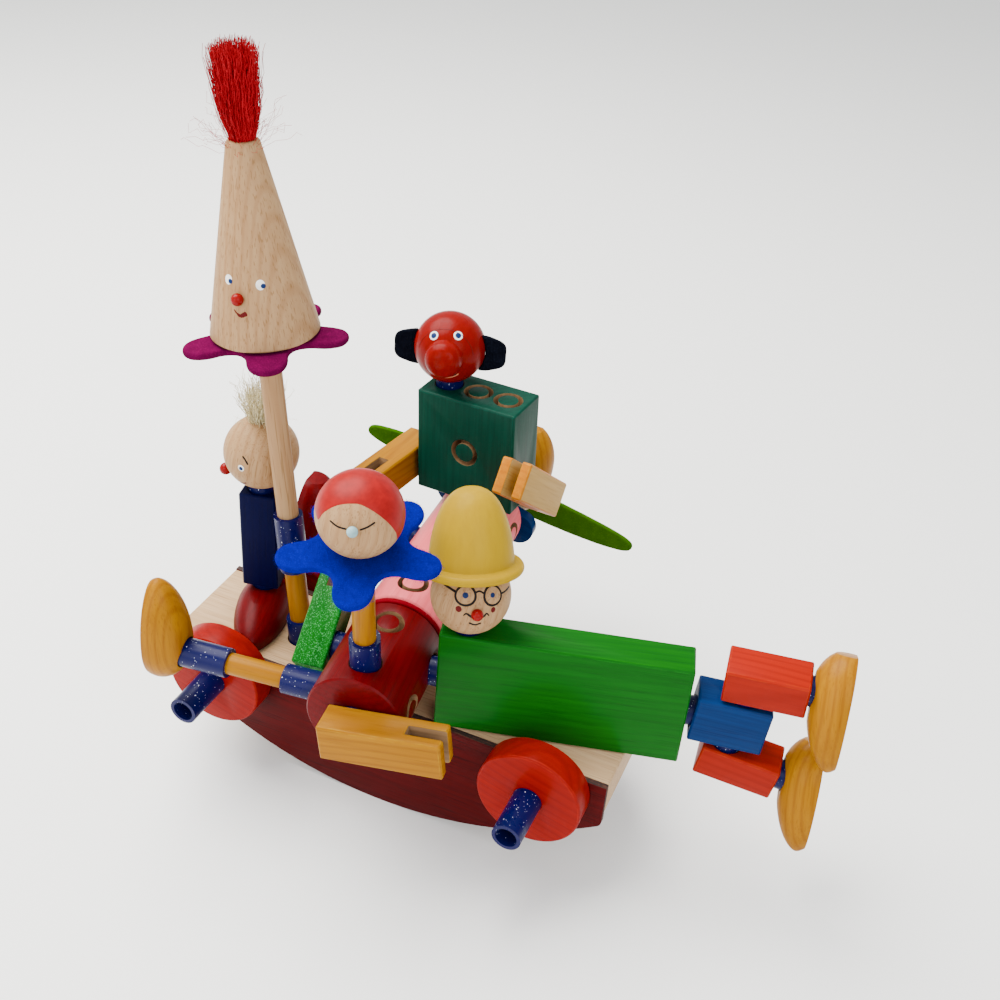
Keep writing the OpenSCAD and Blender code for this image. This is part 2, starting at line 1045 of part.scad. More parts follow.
module hat() {
    steps = 16;
    bell = [for (i = [0:steps]) let (a = 90 * i / steps)
        [crown_r * pow(cos(a), 0.8), crown_h * pow(sin(a), 1.12)]];
    lip = [for (i = [0:8]) let (a = -90 + 180 * i / 8)
        [brim_r - brim_t / 2 + brim_t / 2 * cos(a), brim_t / 2 * sin(a)]];
    color("gold")
        difference() {
            at_hat_head()
                rotate([0, 0, hat_face - green_yaw])
                    rotate([-hat_tilt, 0, 0])
                        translate([0, 0, hat_at])
                            rotate_extrude($fn = 96)
                                polygon(concat([[0, -brim_t / 2]], lip,
                                    [for (i = [1:steps]) bell[i]]));
            at_hat_head()
                sphere(r = ball_r + fit_gap, $fn = 96);
        }
}

module hat_head_nose() {
    at_hat_head()
        ball_nose(32.2 - green_yaw, 10.1);
}

module hip_block() {
    color("royalblue")
        difference() {
            at_hip()
                translate([hip_l / 2, 0, 0])
                    block(hip_l, block_w, hip_h);
            at_green()
                translate([green_l + plug_gap, 0, 0])
                    face_to("left")
                        ring_groove(hip_groove);
            at_upper_leg()
                translate([0, 0, -plug_gap])
                    ring_groove(hip_groove);
            at_lower_leg()
                translate([0, 0, plug_gap])
                    face_to("down")
                        ring_groove(hip_groove);
        }
}

hip_groove = 9;

module hip_tubes() {
    at_upper_leg()
        translate([0, 0, -plug_gap])
            plug(plug_gap, hip_groove - touch, 5.5);
    at_lower_leg()
        translate([0, 0, plug_gap])
            face_to("down")
                plug(plug_gap, hip_groove - touch, 5.5);
}

module upper_leg() {
    color("orangered")
        at_upper_leg()
            difference() {
                rotate(upper_leg_turn)
                    translate([short_leg_l / 2 - upper_leg_back, 0, block_w / 2])
                        block(short_leg_l, block_w, block_w);
                rotate([180, 0, 0])
                    ring_groove(6);
                at_leg_end(upper_leg_turn, upper_leg_back, 1)
                    ring_groove();
            }
}

// A short leg's outer end, seen from its plug on the hip, with +Z out of the end
module at_leg_end(turn, back, up) {
    rotate(turn)
        translate([short_leg_l - back, 0, up * block_w / 2])
            face_to("right")
                children();
}

module lower_leg() {
    color("orangered")
        at_lower_leg()
            difference() {
                rotate(lower_leg_turn)
                    translate([short_leg_l / 2 - lower_leg_back, 0, -block_w / 2])
                        block(short_leg_l, block_w, block_w);
                ring_groove(6);
                at_leg_end(lower_leg_turn, lower_leg_back, -1)
                    ring_groove();
            }
}

module upper_leg_tube() {
    at_upper_shoe()
        face_to("right")
            plug(upper_shoe_gap, plug_in, plug_in - 1);
}

module lower_leg_tube() {
    at_lower_shoe()
        face_to("right")
            plug(lower_shoe_gap, plug_in, plug_in - 1);
}

module upper_shoe() {
    color("goldenrod")
        at_upper_shoe()
            translate([upper_shoe_gap + shoe_top, 0, 0])
                rotate([-upper_toe_turn, 0, 0])
                    rotate([0, 90, 0])
                        rotate([180, 0, 0])
                            shoe(leg_shoe_inset);
}

module lower_shoe() {
    color("goldenrod")
        at_lower_shoe()
            translate([lower_shoe_gap + shoe_top, 0, 0])
                rotate([-lower_toe_turn, 0, 0])
                    rotate([0, 90, 0])
                        rotate([180, 0, 0])
                            shoe(leg_shoe_inset, lower_shoe_lean);
}

module at_ear_head() {
    at_tail_block()
        translate([-ring_pitch, 0, tail_h / 2 + tail_head_gap + ball_r])
            children();
}

back_shoe_x = 13.5;
back_shoe_turn = 3;
arm_plug_z = -tail_h / 2 + arm_plug_up;
back_shoe_z = -tail_h / 2 + back_shoe_up;

module tail_block() {
    color("darkgreen")
        at_tail_block()
            difference() {
                block(tail_w, tail_d, tail_h);
                for (i = [-1:1])
                    translate([i * ring_pitch, 0, tail_h / 2])
                        ring_groove();
                translate([0, -tail_d / 2, 0])
                    face_to("front")
                        ring_groove();
                for (side = ["left", "right"])
                    translate([side == "left" ? -tail_w / 2 : tail_w / 2, 0, arm_plug_z])
                        face_to(side)
                            ring_groove();
                translate([back_shoe_x, tail_d / 2, back_shoe_z])
                    face_to("back")
                        ring_groove();
                translate([-tail_shift * cos(tail_turn), tail_shift * sin(tail_turn), -tail_h / 2])
                    face_to("down")
                        ring_groove();
            }
}

module tail_block_tubes() {
    at_tail_block() {
        translate([-ring_pitch, 0, tail_h / 2])
            plug(tail_head_gap);
        for (side = ["left", "right"])
            translate([side == "left" ? -tail_w / 2 : tail_w / 2, 0, arm_plug_z])
                face_to(side)
                    plug();
        translate([back_shoe_x, tail_d / 2, back_shoe_z])
            face_to("back")
                plug(back_shoe_gap, plug_in, plug_in - 1);
    }
    at_pink(stations[3])
        rotate([0, -tail_tilt, 0])
            translate([0, 0, drum_r])
                plug(tail_gap);
}

face_turn = 14 - pink_yaw - tail_turn;

module ear_head() {
    color("orangered")
        at_ear_head() {
            ball_head();
            look(face_turn, 5)
                translate([0, 0, 12])
                    rotate_extrude()
                        polygon([[0, 0], [9, 0], [9, 5], [8.4, 7.5], [6.6, 9.6], [3.6, 10.8],
                            [0, 11.2]]);
        }
}

module felt_ears() {
    ear_r = 9;
    color("black")
        at_ear_head()
            rotate([0, 0, face_turn])
                for (s = [-1, 1])
                    difference() {
                        translate([s * (ball_r + 1.2), 0, -1.5])
                            rotate([90, 0, 0])
                                linear_extrude(2, center = true)
                                    union() {
                                        circle(r = ear_r);
                                        translate([s > 0 ? -ear_r : 0, -ear_r * 0.9])
                                            square([ear_r, ear_r * 1.8]);
                                    }
                        sphere(r = ball_r + touch / 2, $fn = 96);
                    }
}

module left_hand_arm() {
    color("gold")
        at_tail_block()
            translate([-tail_w / 2 - plug_gap - arm_t / 2, 0, arm_plug_z])
                rotate([0, -left_arm_lift, -90])
                    arm(1, hand_arm_inset);
}

module right_hand_arm() {
    color("orange")
        at_tail_block()
            translate([tail_w / 2 + plug_gap + arm_t / 2, 0, arm_plug_z])
                rotate([0, 0, -90])
                    rotate([0, -right_arm_lift, 0])
                        arm(-1, hand_arm_inset);
}

module back_shoe() {
    color("goldenrod")
        at_tail_block()
            translate([back_shoe_x, tail_d / 2 + back_shoe_gap + shoe_top, back_shoe_z])
                rotate([90, 0, 0])
                    rotate([0, 0, -90 - back_shoe_turn])
                        shoe();
}

deck();
front_rocker_panel();
back_rocker_panel();
axle_tubes();
wheel_front_left();
wheel_front_right();
wheel_back_left();
wheel_back_right();
boy_shoe();
boy_body();
boy_tubes();
boy_head();
boy_nose();
boy_hair();
pole_tubes();
pole_lower_dowel();
pole_upper_dowel();
magenta_collar();
cone_head();
cone_nose();
cone_hair();
drum();
crimson_disc();
drum_tubes();
neck_dowel();
blue_collar();
cap_head();
cap_head_nose();
left_leg_dowel();
left_leg_tube();
left_shoe();
front_arm();
green_arm();
pink_cylinder();
pink_tubes();
back_leg_dowel();
back_leg_tube();
dark_red_shoe();
dark_blue_bar();
leaf_felt();
green_block();
green_block_tubes();
hat_head();
hat();
hat_head_nose();
hip_block();
hip_tubes();
upper_leg();
lower_leg();
upper_leg_tube();
lower_leg_tube();
upper_shoe();
lower_shoe();
tail_block();
tail_block_tubes();
ear_head();
felt_ears();
left_hand_arm();
right_hand_arm();
back_shoe();
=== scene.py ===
"""Plug-in construction toy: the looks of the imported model, piece by piece, in its own frame."""

import json
import logging
import math
from dataclasses import dataclass
from enum import Enum
from typing import Callable, Optional, Sequence

import bmesh
import bpy
import numpy as np
from mathutils import Matrix, Vector

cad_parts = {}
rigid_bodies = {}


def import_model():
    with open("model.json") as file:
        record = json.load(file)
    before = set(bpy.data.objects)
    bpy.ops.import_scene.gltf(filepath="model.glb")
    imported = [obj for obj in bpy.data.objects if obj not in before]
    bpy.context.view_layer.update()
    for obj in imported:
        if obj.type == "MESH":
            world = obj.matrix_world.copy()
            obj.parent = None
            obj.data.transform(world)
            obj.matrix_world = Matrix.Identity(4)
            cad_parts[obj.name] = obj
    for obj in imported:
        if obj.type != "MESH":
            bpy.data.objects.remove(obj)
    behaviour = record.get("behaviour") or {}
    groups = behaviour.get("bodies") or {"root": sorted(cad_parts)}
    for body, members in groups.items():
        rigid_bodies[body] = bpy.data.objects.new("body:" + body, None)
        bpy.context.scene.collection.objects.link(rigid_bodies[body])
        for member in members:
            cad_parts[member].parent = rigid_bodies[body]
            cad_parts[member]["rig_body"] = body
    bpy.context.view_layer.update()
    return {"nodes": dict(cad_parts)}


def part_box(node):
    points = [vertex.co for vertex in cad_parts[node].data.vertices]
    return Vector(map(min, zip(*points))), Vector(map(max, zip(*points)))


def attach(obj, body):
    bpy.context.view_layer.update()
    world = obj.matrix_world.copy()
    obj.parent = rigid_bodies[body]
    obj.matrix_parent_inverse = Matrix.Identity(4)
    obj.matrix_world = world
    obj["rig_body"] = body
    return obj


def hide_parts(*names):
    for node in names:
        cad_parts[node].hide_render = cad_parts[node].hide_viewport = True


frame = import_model()

log = logging.getLogger("plug_in_toy")
MM = 0.001
BALL_R = 17.5 * MM
# Edges sharper than this are rounded; edges sharper than a crease are shaded sharp.
SHARP_EDGE = math.radians(30)
CREASE = math.radians(38)
# Faces this far inside a piece's outside are the walls of its grooves and holes.
RECESS = 0.55 * MM


def linear(code: str) -> tuple[float, float, float, float]:
    """The linear colour of an sRGB hex code.

    Args:
        code: Six hex digits.

    Returns:
        Red, green, blue and full opacity, for a shader's socket.
    """
    channels = [int(code[i : i + 2], 16) / 255 for i in (0, 2, 4)]
    curve = [c / 12.92 if c <= 0.04045 else ((c + 0.055) / 1.055) ** 2.4 for c in channels]
    return (curve[0], curve[1], curve[2], 1.0)


class NodeSheet:
    """One material and the one small helper that adds its nodes."""

    def __init__(self, name: str) -> None:
        """Starts a material with only a Principled surface.

        Args:
            name: The material's name.
        """
        self.material = bpy.data.materials.new(name)
        self.material.use_nodes = True
        self.tree = self.material.node_tree
        self.surface = self.tree.nodes["Principled BSDF"]

    def feed(self, socket: bpy.types.NodeSocket, value: object) -> None:
        """Links a socket to another one, or sets its value.

        Args:
            socket: The input to feed.
            value: The output that feeds it, or a plain value.
        """
        if isinstance(value, bpy.types.NodeSocket):
            self.tree.links.new(value, socket)
        else:
            socket.default_value = value

    def add(
        self, kind: str, values: Optional[dict] = None, out: object = 0, **settings: object
    ) -> bpy.types.NodeSocket:
        """Adds one shader node.

        Args:
            kind: The node's type, without the ShaderNode prefix.
            values: Its inputs by name or index, each a value or a socket.
            out: The output to hand back, by name or index.
            settings: The node's own properties.

        Returns:
            The chosen output socket.
        """
        node = self.tree.nodes.new("ShaderNode" + kind)
        for key, value in settings.items():
            setattr(node, key, value)
        for key, value in (values or {}).items():
            self.feed(node.inputs[key], value)
        return node.outputs[out]

    def noise(
        self, place: bpy.types.NodeSocket, per_metre: tuple[float, float, float],
        detail: float = 2.0, limits: Optional[tuple[float, float]] = None,
    ) -> bpy.types.NodeSocket:
        """A noise pattern whose cells have a real size along each axis.

        Args:
            place: The coordinates, in metres.
            per_metre: Cells per metre along each axis.
            detail: Levels of finer noise in it.
            limits: The values that become 0 and 1, or None to leave it as it is.

        Returns:
            The pattern's value.
        """
        stretched = self.add("Mapping", {"Vector": place, "Scale": per_metre})
        value = self.add("TexNoise", {"Vector": stretched, "Scale": 1.0, "Detail": detail})
        if limits is None:
            return value
        low, high = limits
        return self.add("MapRange", {"Value": value, "From Min": low, "From Max": high})

    def layer(
        self, under: object, over: str, pattern: bpy.types.NodeSocket, share: float = 1.0
    ) -> bpy.types.NodeSocket:
        """A colour laid over what is there, where a pattern is high.

        Args:
            under: The colour below, as a value or a socket.
            over: The hex code of the colour laid on.
            pattern: Where it lies, from 0 to 1.
            share: The most of it that covers.

        Returns:
            The new colour.
        """
        cover = self.add("Math", {0: pattern, 1: share}, operation="MULTIPLY")
        colours = {0: cover, 6: under, 7: linear(over)}
        return self.add("Mix", colours, out=2, data_type="RGBA")

    def relief(self, height: bpy.types.NodeSocket, strength: float, depth: float) -> None:
        """Gives the surface a relief of some depth in metres, from a height pattern."""
        normal = self.add("Bump", {"Strength": strength, "Distance": depth, "Height": height})
        self.feed(self.surface.inputs["Normal"], normal)

    def set(self, **values: object) -> None:
        """Sets or links the surface's own inputs; underscores stand for spaces."""
        for key, value in values.items():
            self.feed(self.surface.inputs[key.replace("_", " ")], value)


_made: dict[str, bpy.types.Material] = {}


@dataclass(frozen=True)
class Finish:
    """A surface finish: the material's name, the record's slot and its main colour."""

    name: str
    slot: str
    base: str

    def dress(self, sheet: NodeSheet) -> None:
        """Adds the finish's nodes; each kind of finish has its own."""
        sheet.set(Base_Color=linear(self.base))

    def material(self) -> bpy.types.Material:
        """The finish's material, made once.

        Returns:
            The material, shared by every piece of this finish.
        """
        if self.name not in _made:
            sheet = NodeSheet(self.name)
            self.dress(sheet)
            _made[self.name] = sheet.material
        return _made[self.name]


@dataclass(frozen=True)
class WoodFinish(Finish):
    """Wood, bare or stained: grain streaks, growth rings, short ray flecks, and rounded edges
    painted lighter, part wear and part painted highlight.

    The shares streaks, rings, flecks, wear_and_highlight and glitter_glint say how much of each
    shows;
    the lighter rounded edges are part wear and part painted highlight, and the bright glitter
    flakes are painted glints. The pattern sizes are in cells per metre along and across the
    grain.
    """

    dark: str = "8A6340"
    fleck: str = "6E4A28"
    streaks: float = 0.45
    rings: float = 0.35
    flecks: float = 0.55
    rough: float = 0.48
    coat: float = 0.0
    worn_and_lit: str = "C9AC85"
    wear_and_highlight: float = 0.25
    glitter_glint: float = 0.0
    gloss: float = 0.05
    tones: float = 0.22
    glint_colour: str = "48B060"
    # Streaks 60 mm long and 2.6 mm wide, clouds of tone 26 mm wide.
    streak_size: tuple[float, float, float] = (16, 380, 380)
    tone_size: tuple[float, float, float] = (9, 38, 38)
    # Ray flecks 18 mm long, drawn 0.5 mm wide: real ones are too fine to show.
    fleck_size: tuple[float, float, float] = (55, 1900, 1900)
    rub_and_lit_size: tuple[float, float, float] = (160, 420, 420)
    # The tree's pith, 48 and 17 mm beside the piece, and rings 3.6 mm apart round it.
    pith: tuple[float, float, float] = (0.0, 0.048, 0.017)
    ring_turn: float = 1750.0
    # Glitter flakes of 0.4 mm.
    flake_size: float = 2600.0

    def ring_wave(
        self, sheet: NodeSheet, grain: bpy.types.NodeSocket
    ) -> bpy.types.NodeSocket:
        """The growth rings: a wave of the distance from the pith, tapered and wobbling.

        Args:
            sheet: The material's nodes.
            grain: The grain coordinates.

        Returns:
            The wave, from -1 to 1.
        """
        wobble = sheet.noise(grain, (7, 26, 26), 1.0)
        beside = sheet.add(
            "Mapping", {"Vector": grain, "Location": self.pith, "Scale": (0.0, 1.0, 1.0)}
        )
        reach = sheet.add("VectorMath", {0: beside}, out="Value", operation="LENGTH")
        along = sheet.add("SeparateXYZ", {0: grain})
        taper = sheet.add("Math", {0: along, 1: 0.05, 2: reach}, operation="MULTIPLY_ADD")
        depth = sheet.add("Math", {0: wobble, 1: 0.011, 2: taper}, operation="MULTIPLY_ADD")
        turn = sheet.add("Math", {0: depth, 1: self.ring_turn}, operation="MULTIPLY")
        return sheet.add("Math", {0: turn}, operation="SINE")

    def dress(self, sheet: NodeSheet) -> None:
        """Builds the grain from the piece's own grain coordinates, in metres.

        Args:
            sheet: The material's nodes.
        """
        grain = sheet.add("Attribute", out="Vector", attribute_name="grain")
        streak = sheet.noise(grain, self.streak_size, 3.0, (0.34, 0.70))
        tone = sheet.noise(grain, self.tone_size, 2.0, (0.3, 0.72))
        wave = self.ring_wave(sheet, grain)
        ring = sheet.add("MapRange", {"Value": wave, "From Min": 0.1, "From Max": 1.0})
        mark = sheet.noise(grain, self.fleck_size, 0.0, (0.62, 0.71))
        colour = sheet.layer(linear(self.base), self.dark, streak, self.streaks)
        colour = sheet.layer(colour, self.dark, ring, self.rings)
        colour = sheet.layer(colour, self.dark, tone, self.tones)
        colour = sheet.layer(colour, self.fleck, mark, self.flecks)
        # Rounded edges painted lighter in patches: part handling wear, part painted highlight.
        edge = sheet.add("Attribute", out="Fac", attribute_name="edge")
        rub_and_lit = sheet.noise(grain, self.rub_and_lit_size, 2.0, (0.38, 0.62))
        rubbed_and_lit = sheet.add("Math", {0: edge, 1: rub_and_lit}, operation="MULTIPLY")
        colour = sheet.layer(colour, self.worn_and_lit, rubbed_and_lit, self.wear_and_highlight)
        # The glitter's glints are painted: bright flakes laid into the base colour.
        if self.glitter_glint:
            flakes = {"Vector": grain, "Scale": self.flake_size}
            cells = sheet.add("TexVoronoi", flakes, out="Color")
            flash = sheet.add("SeparateColor", {0: cells})
            lit = sheet.add("MapRange", {"Value": flash, "From Min": 0.7, "From Max": 1.0})
            colour = sheet.layer(colour, self.glint_colour, lit, self.glitter_glint)
        rough = sheet.add(
            "Math", {0: tone, 1: 0.12, 2: self.rough - 0.06}, operation="MULTIPLY_ADD"
        )
        sheet.set(Base_Color=colour, Roughness=rough, Coat_Weight=self.coat)
        sheet.set(Coat_Roughness=0.22, Specular_IOR_Level=self.gloss)
        pores = sheet.add("Math", {0: streak, 1: mark}, operation="SUBTRACT")
        sheet.relief(pores, 0.35, 0.06 * MM)


@dataclass(frozen=True)
class CharFinish(Finish):
    """The scorched brown edge that laser cutting leaves on thin plywood."""

    ply: str = "5A3020"
    soot: str = "1C0D0A"

    def dress(self, sheet: NodeSheet) -> None:
        """Layers of plies 0.7 mm thick, darkened unevenly by soot in 1.4 mm patches.

        Args:
            sheet: The material's nodes.
        """
        place = sheet.add("TexCoord", out="Object")
        plies = sheet.noise(place, (60, 1400, 60), 1.0, (0.4, 0.65))
        soot = sheet.noise(place, (700, 700, 700))
        patches = sheet.add("MapRange", {"Value": soot, "From Min": 0.35, "From Max": 0.7})
        colour = sheet.layer(linear(self.base), self.ply, plies)
        sheet.set(Base_Color=sheet.layer(colour, self.soot, patches), Roughness=0.85)
        sheet.relief(soot, 0.4, 0.1 * MM)


@dataclass(frozen=True)
class TubeFinish(Finish):
    """Extruded soft plastic tube with pale specks of dust and scuffs."""

    cloudy: str = "02063C"
    dust: str = "DDE2F4"

    def dress(self, sheet: NodeSheet) -> None:
        """Specks in cells of 0.7 mm, drawn coarser than dust is, so that they show.

        Args:
            sheet: The material's nodes.
        """
        place = sheet.add("TexCoord", out="Object")
        speck = sheet.noise(place, (1500, 1500, 1500), 0.0, (0.80, 0.82))
        cloud = sheet.noise(place, (120, 120, 120), 3.0, (0.3, 0.75))
        colour = sheet.layer(linear(self.base), self.cloudy, cloud)
        colour = sheet.layer(colour, self.dust, speck, 0.9)
        rough = sheet.add("Math", {0: cloud, 1: 0.2, 2: 0.24}, operation="MULTIPLY_ADD")
        sheet.set(Base_Color=colour, Roughness=rough, Specular_IOR_Level=0.14)
        sheet.relief(speck, 0.25, 0.08 * MM)


@dataclass(frozen=True)
class FeltFinish(Finish):
    """Die-cut wool felt: matted fibres, mottled, with a dull sheen."""

    light: str = "FFFFFF"

    def dress(self, sheet: NodeSheet) -> None:
        """Mottling 4 mm across and matting of 0.5 mm, coarser than wool is, so it shows.

        Args:
            sheet: The material's nodes.
        """
        place = sheet.add("TexCoord", out="Object")
        cloud = sheet.noise(place, (240, 240, 240), 3.0, (0.3, 0.7))
        fibre = sheet.noise(place, (2100, 2100, 2100), 3.0)
        hair = sheet.add("MapRange", {"Value": fibre, "From Min": 0.52, "From Max": 0.72})
        colour = sheet.layer(linear(self.base), self.light, cloud, 0.2)
        colour = sheet.layer(colour, self.light, hair, 0.55)
        sheet.set(Base_Color=colour, Roughness=0.95, Specular_IOR_Level=0.02)
        sheet.relief(fibre, 0.7, 0.4 * MM)


@dataclass(frozen=True)
class PaintFinish(Finish):
    """Brushed or dipped lacquer, slightly uneven."""

    rough: float = 0.25
    thin: float = 0.72

    def dress(self, sheet: NodeSheet) -> None:
        """Faint clouding 3 mm across and an orange-peel bump of the same size.

        Args:
            sheet: The material's nodes.
        """
        place = sheet.add("TexCoord", out="Object")
        cloud = sheet.noise(place, (330, 330, 330), 2.0, (0.3, 0.75))
        full = linear(self.base)
        dark = tuple(c * self.thin for c in full[:3]) + (1.0,)
        colour = sheet.add("Mix", {0: cloud, 6: full, 7: dark}, out=2, data_type="RGBA")
        sheet.set(Base_Color=colour, Roughness=self.rough, Specular_IOR_Level=0.12)
        sheet.relief(cloud, 0.15, 0.1 * MM)


@dataclass(frozen=True)
class HairFinish(Finish):
    """Dyed fibre for a tuft, lighter and darker from strand to strand."""

    light: str = "FFFFFF"

    def dress(self, sheet: NodeSheet) -> None:
        """Colour changes every 1.1 mm across the tuft, and slowly along it.

        Args:
            sheet: The material's nodes.
        """
        place = sheet.add("TexCoord", out="Object")
        strand = sheet.noise(place, (900, 900, 60), 1.0, (0.35, 0.65))
        colour = sheet.layer(linear(self.base), self.light, strand)
        sheet.set(Base_Color=colour, Roughness=0.7, Specular_IOR_Level=0.08)


@dataclass(frozen=True)
class PaperFinish(Finish):
    """The seamless matt sweep under and behind the object."""

    mottle: str = "D8D8D6"

    def dress(self, sheet: NodeSheet) -> None:
        """Very faint paper mottle, half a metre across.

        Args:
            sheet: The material's nodes.
        """
        place = sheet.add("TexCoord", out="Object")
        cloud = sheet.noise(place, (2.0, 2.0, 2.0))
        colour = sheet.layer(linear(self.base), self.mottle, cloud, 0.08)
        sheet.set(Base_Color=colour, Roughness=0.8)


class Look(Enum):
    """The finishes of this object, by piece."""

    # Sanded on the lathe and left bare: dull, pinkish tan, short brown flecks.
    BEECH = WoodFinish(
        "beech_turned_and_sanded", "beech_wood", "A78660", rings=0.4, streaks=0.35,
        flecks=0.45, wear_and_highlight=0.0,
    )
    # Planed flat: paler than the turned wood, with faint long grain.
    PLANK = WoodFinish(
        "beech_sawn_and_planed", "beech_wood", "BA9C78", rings=0.14, streaks=0.3,
        flecks=0.35, wear_and_highlight=0.0,
    )
    # The arm's sawn sides, rubbed almost clear of their stain: dull straw.
    PALE = WoodFinish(
        "beech_sawn_rubbed_pale", "amber_wood", "B08C4C", dark="966F34", fleck="86602C",
        rings=0.2, flecks=0.3, wear_and_highlight=0.0,
    )
    # Walls cut after the staining: raw wood in grooves and slots, painted darker brown as the
    # shade inside them.
    BARE_WITH_PAINTED_SHADE = WoodFinish("beech_bare_cut_wall_painted_shade", "beech_wood", "846648", dark="573F29", wear_and_highlight=0.0)
    # Thin ply soaked in stain: dull dark red, nearly black along the grain.
    PANEL = WoodFinish(
        "plywood_stained_dark_red", "dark_red_panel", "490103", dark="350102",
        fleck="230001", streaks=0.6, rings=0.2, flecks=0.6, rough=0.5, worn_and_lit="550806",
    )
    # Laser-cut edge: sooty brown, no gloss.
    CHAR = CharFinish("plywood_scorched_cut_edge", "dark_red_panel", "240C06")
    # Soft extruded plastic: deep blue, half dull, dotted with pale dust.
    TUBE = TubeFinish("soft_plastic_tube_extruded", "blue_tube", "00013E")
    # Water stain under wax: glowing orange-red, painted paler at the rims as wear and highlight.
    WHEEL = WoodFinish(
        "beech_wheel_stained_orange_red", "orange_wheel_wood", "840600", dark="6C0300",
        fleck="710300", streaks=0.5, rings=0.5, flecks=0.35, rough=0.42, coat=0.04,
        worn_and_lit="9C1C04", wear_and_highlight=0.4,
    )
    # The same stain in wine red: dark, with a soft shine on round parts.
    RED_WOOD = WoodFinish(
        "beech_turned_stained_dark_red", "dark_red_wood", "5C0106", dark="450003",
        fleck="3E0001", streaks=0.5, rings=0.35, flecks=0.35, rough=0.4, coat=0.04,
        worn_and_lit="770306",
    )
    # Stained nearly black-blue: grain hardly shows.
    NAVY = WoodFinish(
        "beech_sawn_stained_navy", "navy_wood", "00022E", dark="000124", fleck="000018",
        streaks=0.5, rings=0.25, flecks=0.3, rough=0.45, worn_and_lit="02094B",
    )
    # Yellow stain under wax: honey-coloured, rings and streaks plain to see.
    YELLOW = WoodFinish(
        "beech_stained_yellow_waxed", "yellow_wood", "956300", dark="784500",
        fleck="6C3C00", streaks=0.45, rings=0.5, flecks=0.3, rough=0.38, coat=0.04,
        worn_and_lit="AA8300", wear_and_highlight=0.35,
    )
    # Bright green stain: clear grain, corners painted paler as wear and highlight.
    GREEN = WoodFinish(
        "beech_sawn_stained_bright_green", "green_wood", "005606", dark="003F03",
        fleck="003B03", streaks=0.55, rings=0.3, flecks=0.4, rough=0.4, coat=0.04,
        worn_and_lit="007C13", wear_and_highlight=0.4,
    )
    # Green stain with fine glitter in the varnish, its glints painted as pale green points of
    # light.
    SPARKLE = WoodFinish(
        "beech_sawn_stained_green_with_painted_glints", "green_wood", "005E0E", dark="004708",
        fleck="004806", streaks=0.5, rings=0.2, flecks=0.3, rough=0.3, coat=0.04,
        worn_and_lit="007D19", glitter_glint=0.55,
    )
    # Pink stain: even, soft, with slightly darker streaks.
    PINK = WoodFinish(
        "beech_turned_stained_pink", "pink_wood", "DF646C", dark="CC4C54", fleck="BD424A",
        streaks=0.4, rings=0.3, flecks=0.35, rough=0.4, coat=0.04, worn_and_lit="E57B7F",
    )
    # Thick yellow lacquer: even colour, hardly any grain, satin shine.
    HAT = WoodFinish(
        "beech_turned_lacquered_yellow", "yellow_lacquer", "A08000", dark="8C6A00",
        fleck="946C00", streaks=0.25, rings=0.05, flecks=0.12, rough=0.5, coat=0.04,
        worn_and_lit="B89C00",
    )
    # Blue stain: medium blue with dark streaks, corners painted pale as wear and highlight.
    BLUE_WOOD = WoodFinish(
        "beech_sawn_stained_blue", "blue_wood", "002858", dark="001B46", fleck="000E3D",
        streaks=0.55, rings=0.4, flecks=0.35, rough=0.4, coat=0.04, worn_and_lit="003372", wear_and_highlight=0.4,
    )
    # Orange-red stain on sawn stock: grain shows as darker lines.
    ORANGE = WoodFinish(
        "beech_sawn_stained_orange_red", "orange_wood", "8E1300", dark="760B00",
        fleck="780C00", streaks=0.5, rings=0.45, flecks=0.3, rough=0.4, coat=0.04,
        worn_and_lit="A83600", wear_and_highlight=0.4,
    )
    # Bottle-green stain: dark, streaked, lighter at worn edges.
    DARK_GREEN = WoodFinish(
        "beech_sawn_stained_dark_green", "dark_green_wood", "00382A", dark="002A1F",
        fleck="00251A", streaks=0.5, rings=0.35, flecks=0.4, rough=0.42, coat=0.04,
        worn_and_lit="005F4C",
    )
    # Red lacquer on a turned ball: satin, with faint grain.
    RED_BALL = WoodFinish(
        "beech_turned_lacquered_red", "red_lacquer", "720300", dark="5C0000",
        fleck="600000", streaks=0.35, rings=0.2, flecks=0.15, rough=0.3, coat=0.04,
        worn_and_lit="8C0400",
    )
    # Amber stain: orange-brown ends with clear rings.
    AMBER = WoodFinish(
        "beech_sawn_stained_amber", "amber_wood", "B26C02", dark="964E00", fleck="965703",
        streaks=0.45, rings=0.35, flecks=0.35, rough=0.42, coat=0.04, worn_and_lit="C99F33",
    )
    # Dipped lacquer: smooth bright red beads.
    RED_PAINT = PaintFinish("lacquer_dipped_red", "red_paint", "800001")
    # Dipped lacquer: smooth pale blue bead.
    PALE_BLUE = PaintFinish("lacquer_dipped_pale_blue", "pale_blue_paint", "8DADB1")
    # Brushed lacquer: satin red, faintly clouded.
    CAP_RED = PaintFinish("lacquer_brushed_cap_red", "red_paint", "8E0A0C", rough=0.42)
    # Brushed thin lines: near black, no shine.
    INK = PaintFinish("lacquer_brushed_dark_brown", "beech_wood", "0C0403", rough=0.5)
    # Dotted lacquer: small deep blue drops.
    BLUE_INK = PaintFinish("lacquer_dotted_blue", "blue_wood", "0C2453", rough=0.35)
    # Dotted lacquer: off-white drops, slightly raised.
    WHITE = PaintFinish("lacquer_dotted_white", "beech_wood", "F2F1EA", rough=0.35)
    # Dotted lacquer: dull dark cherry.
    CHERRY = PaintFinish("lacquer_dotted_dark_cherry", "red_paint", "560102", rough=0.45)
    # A line scored on the lathe, drawn as a thin dark red line: painted shade in the groove.
    LATHE_GROOVE_SHADE = PaintFinish("wood_scored_line_painted_shade", "red_lacquer", "5A0200", rough=0.5)
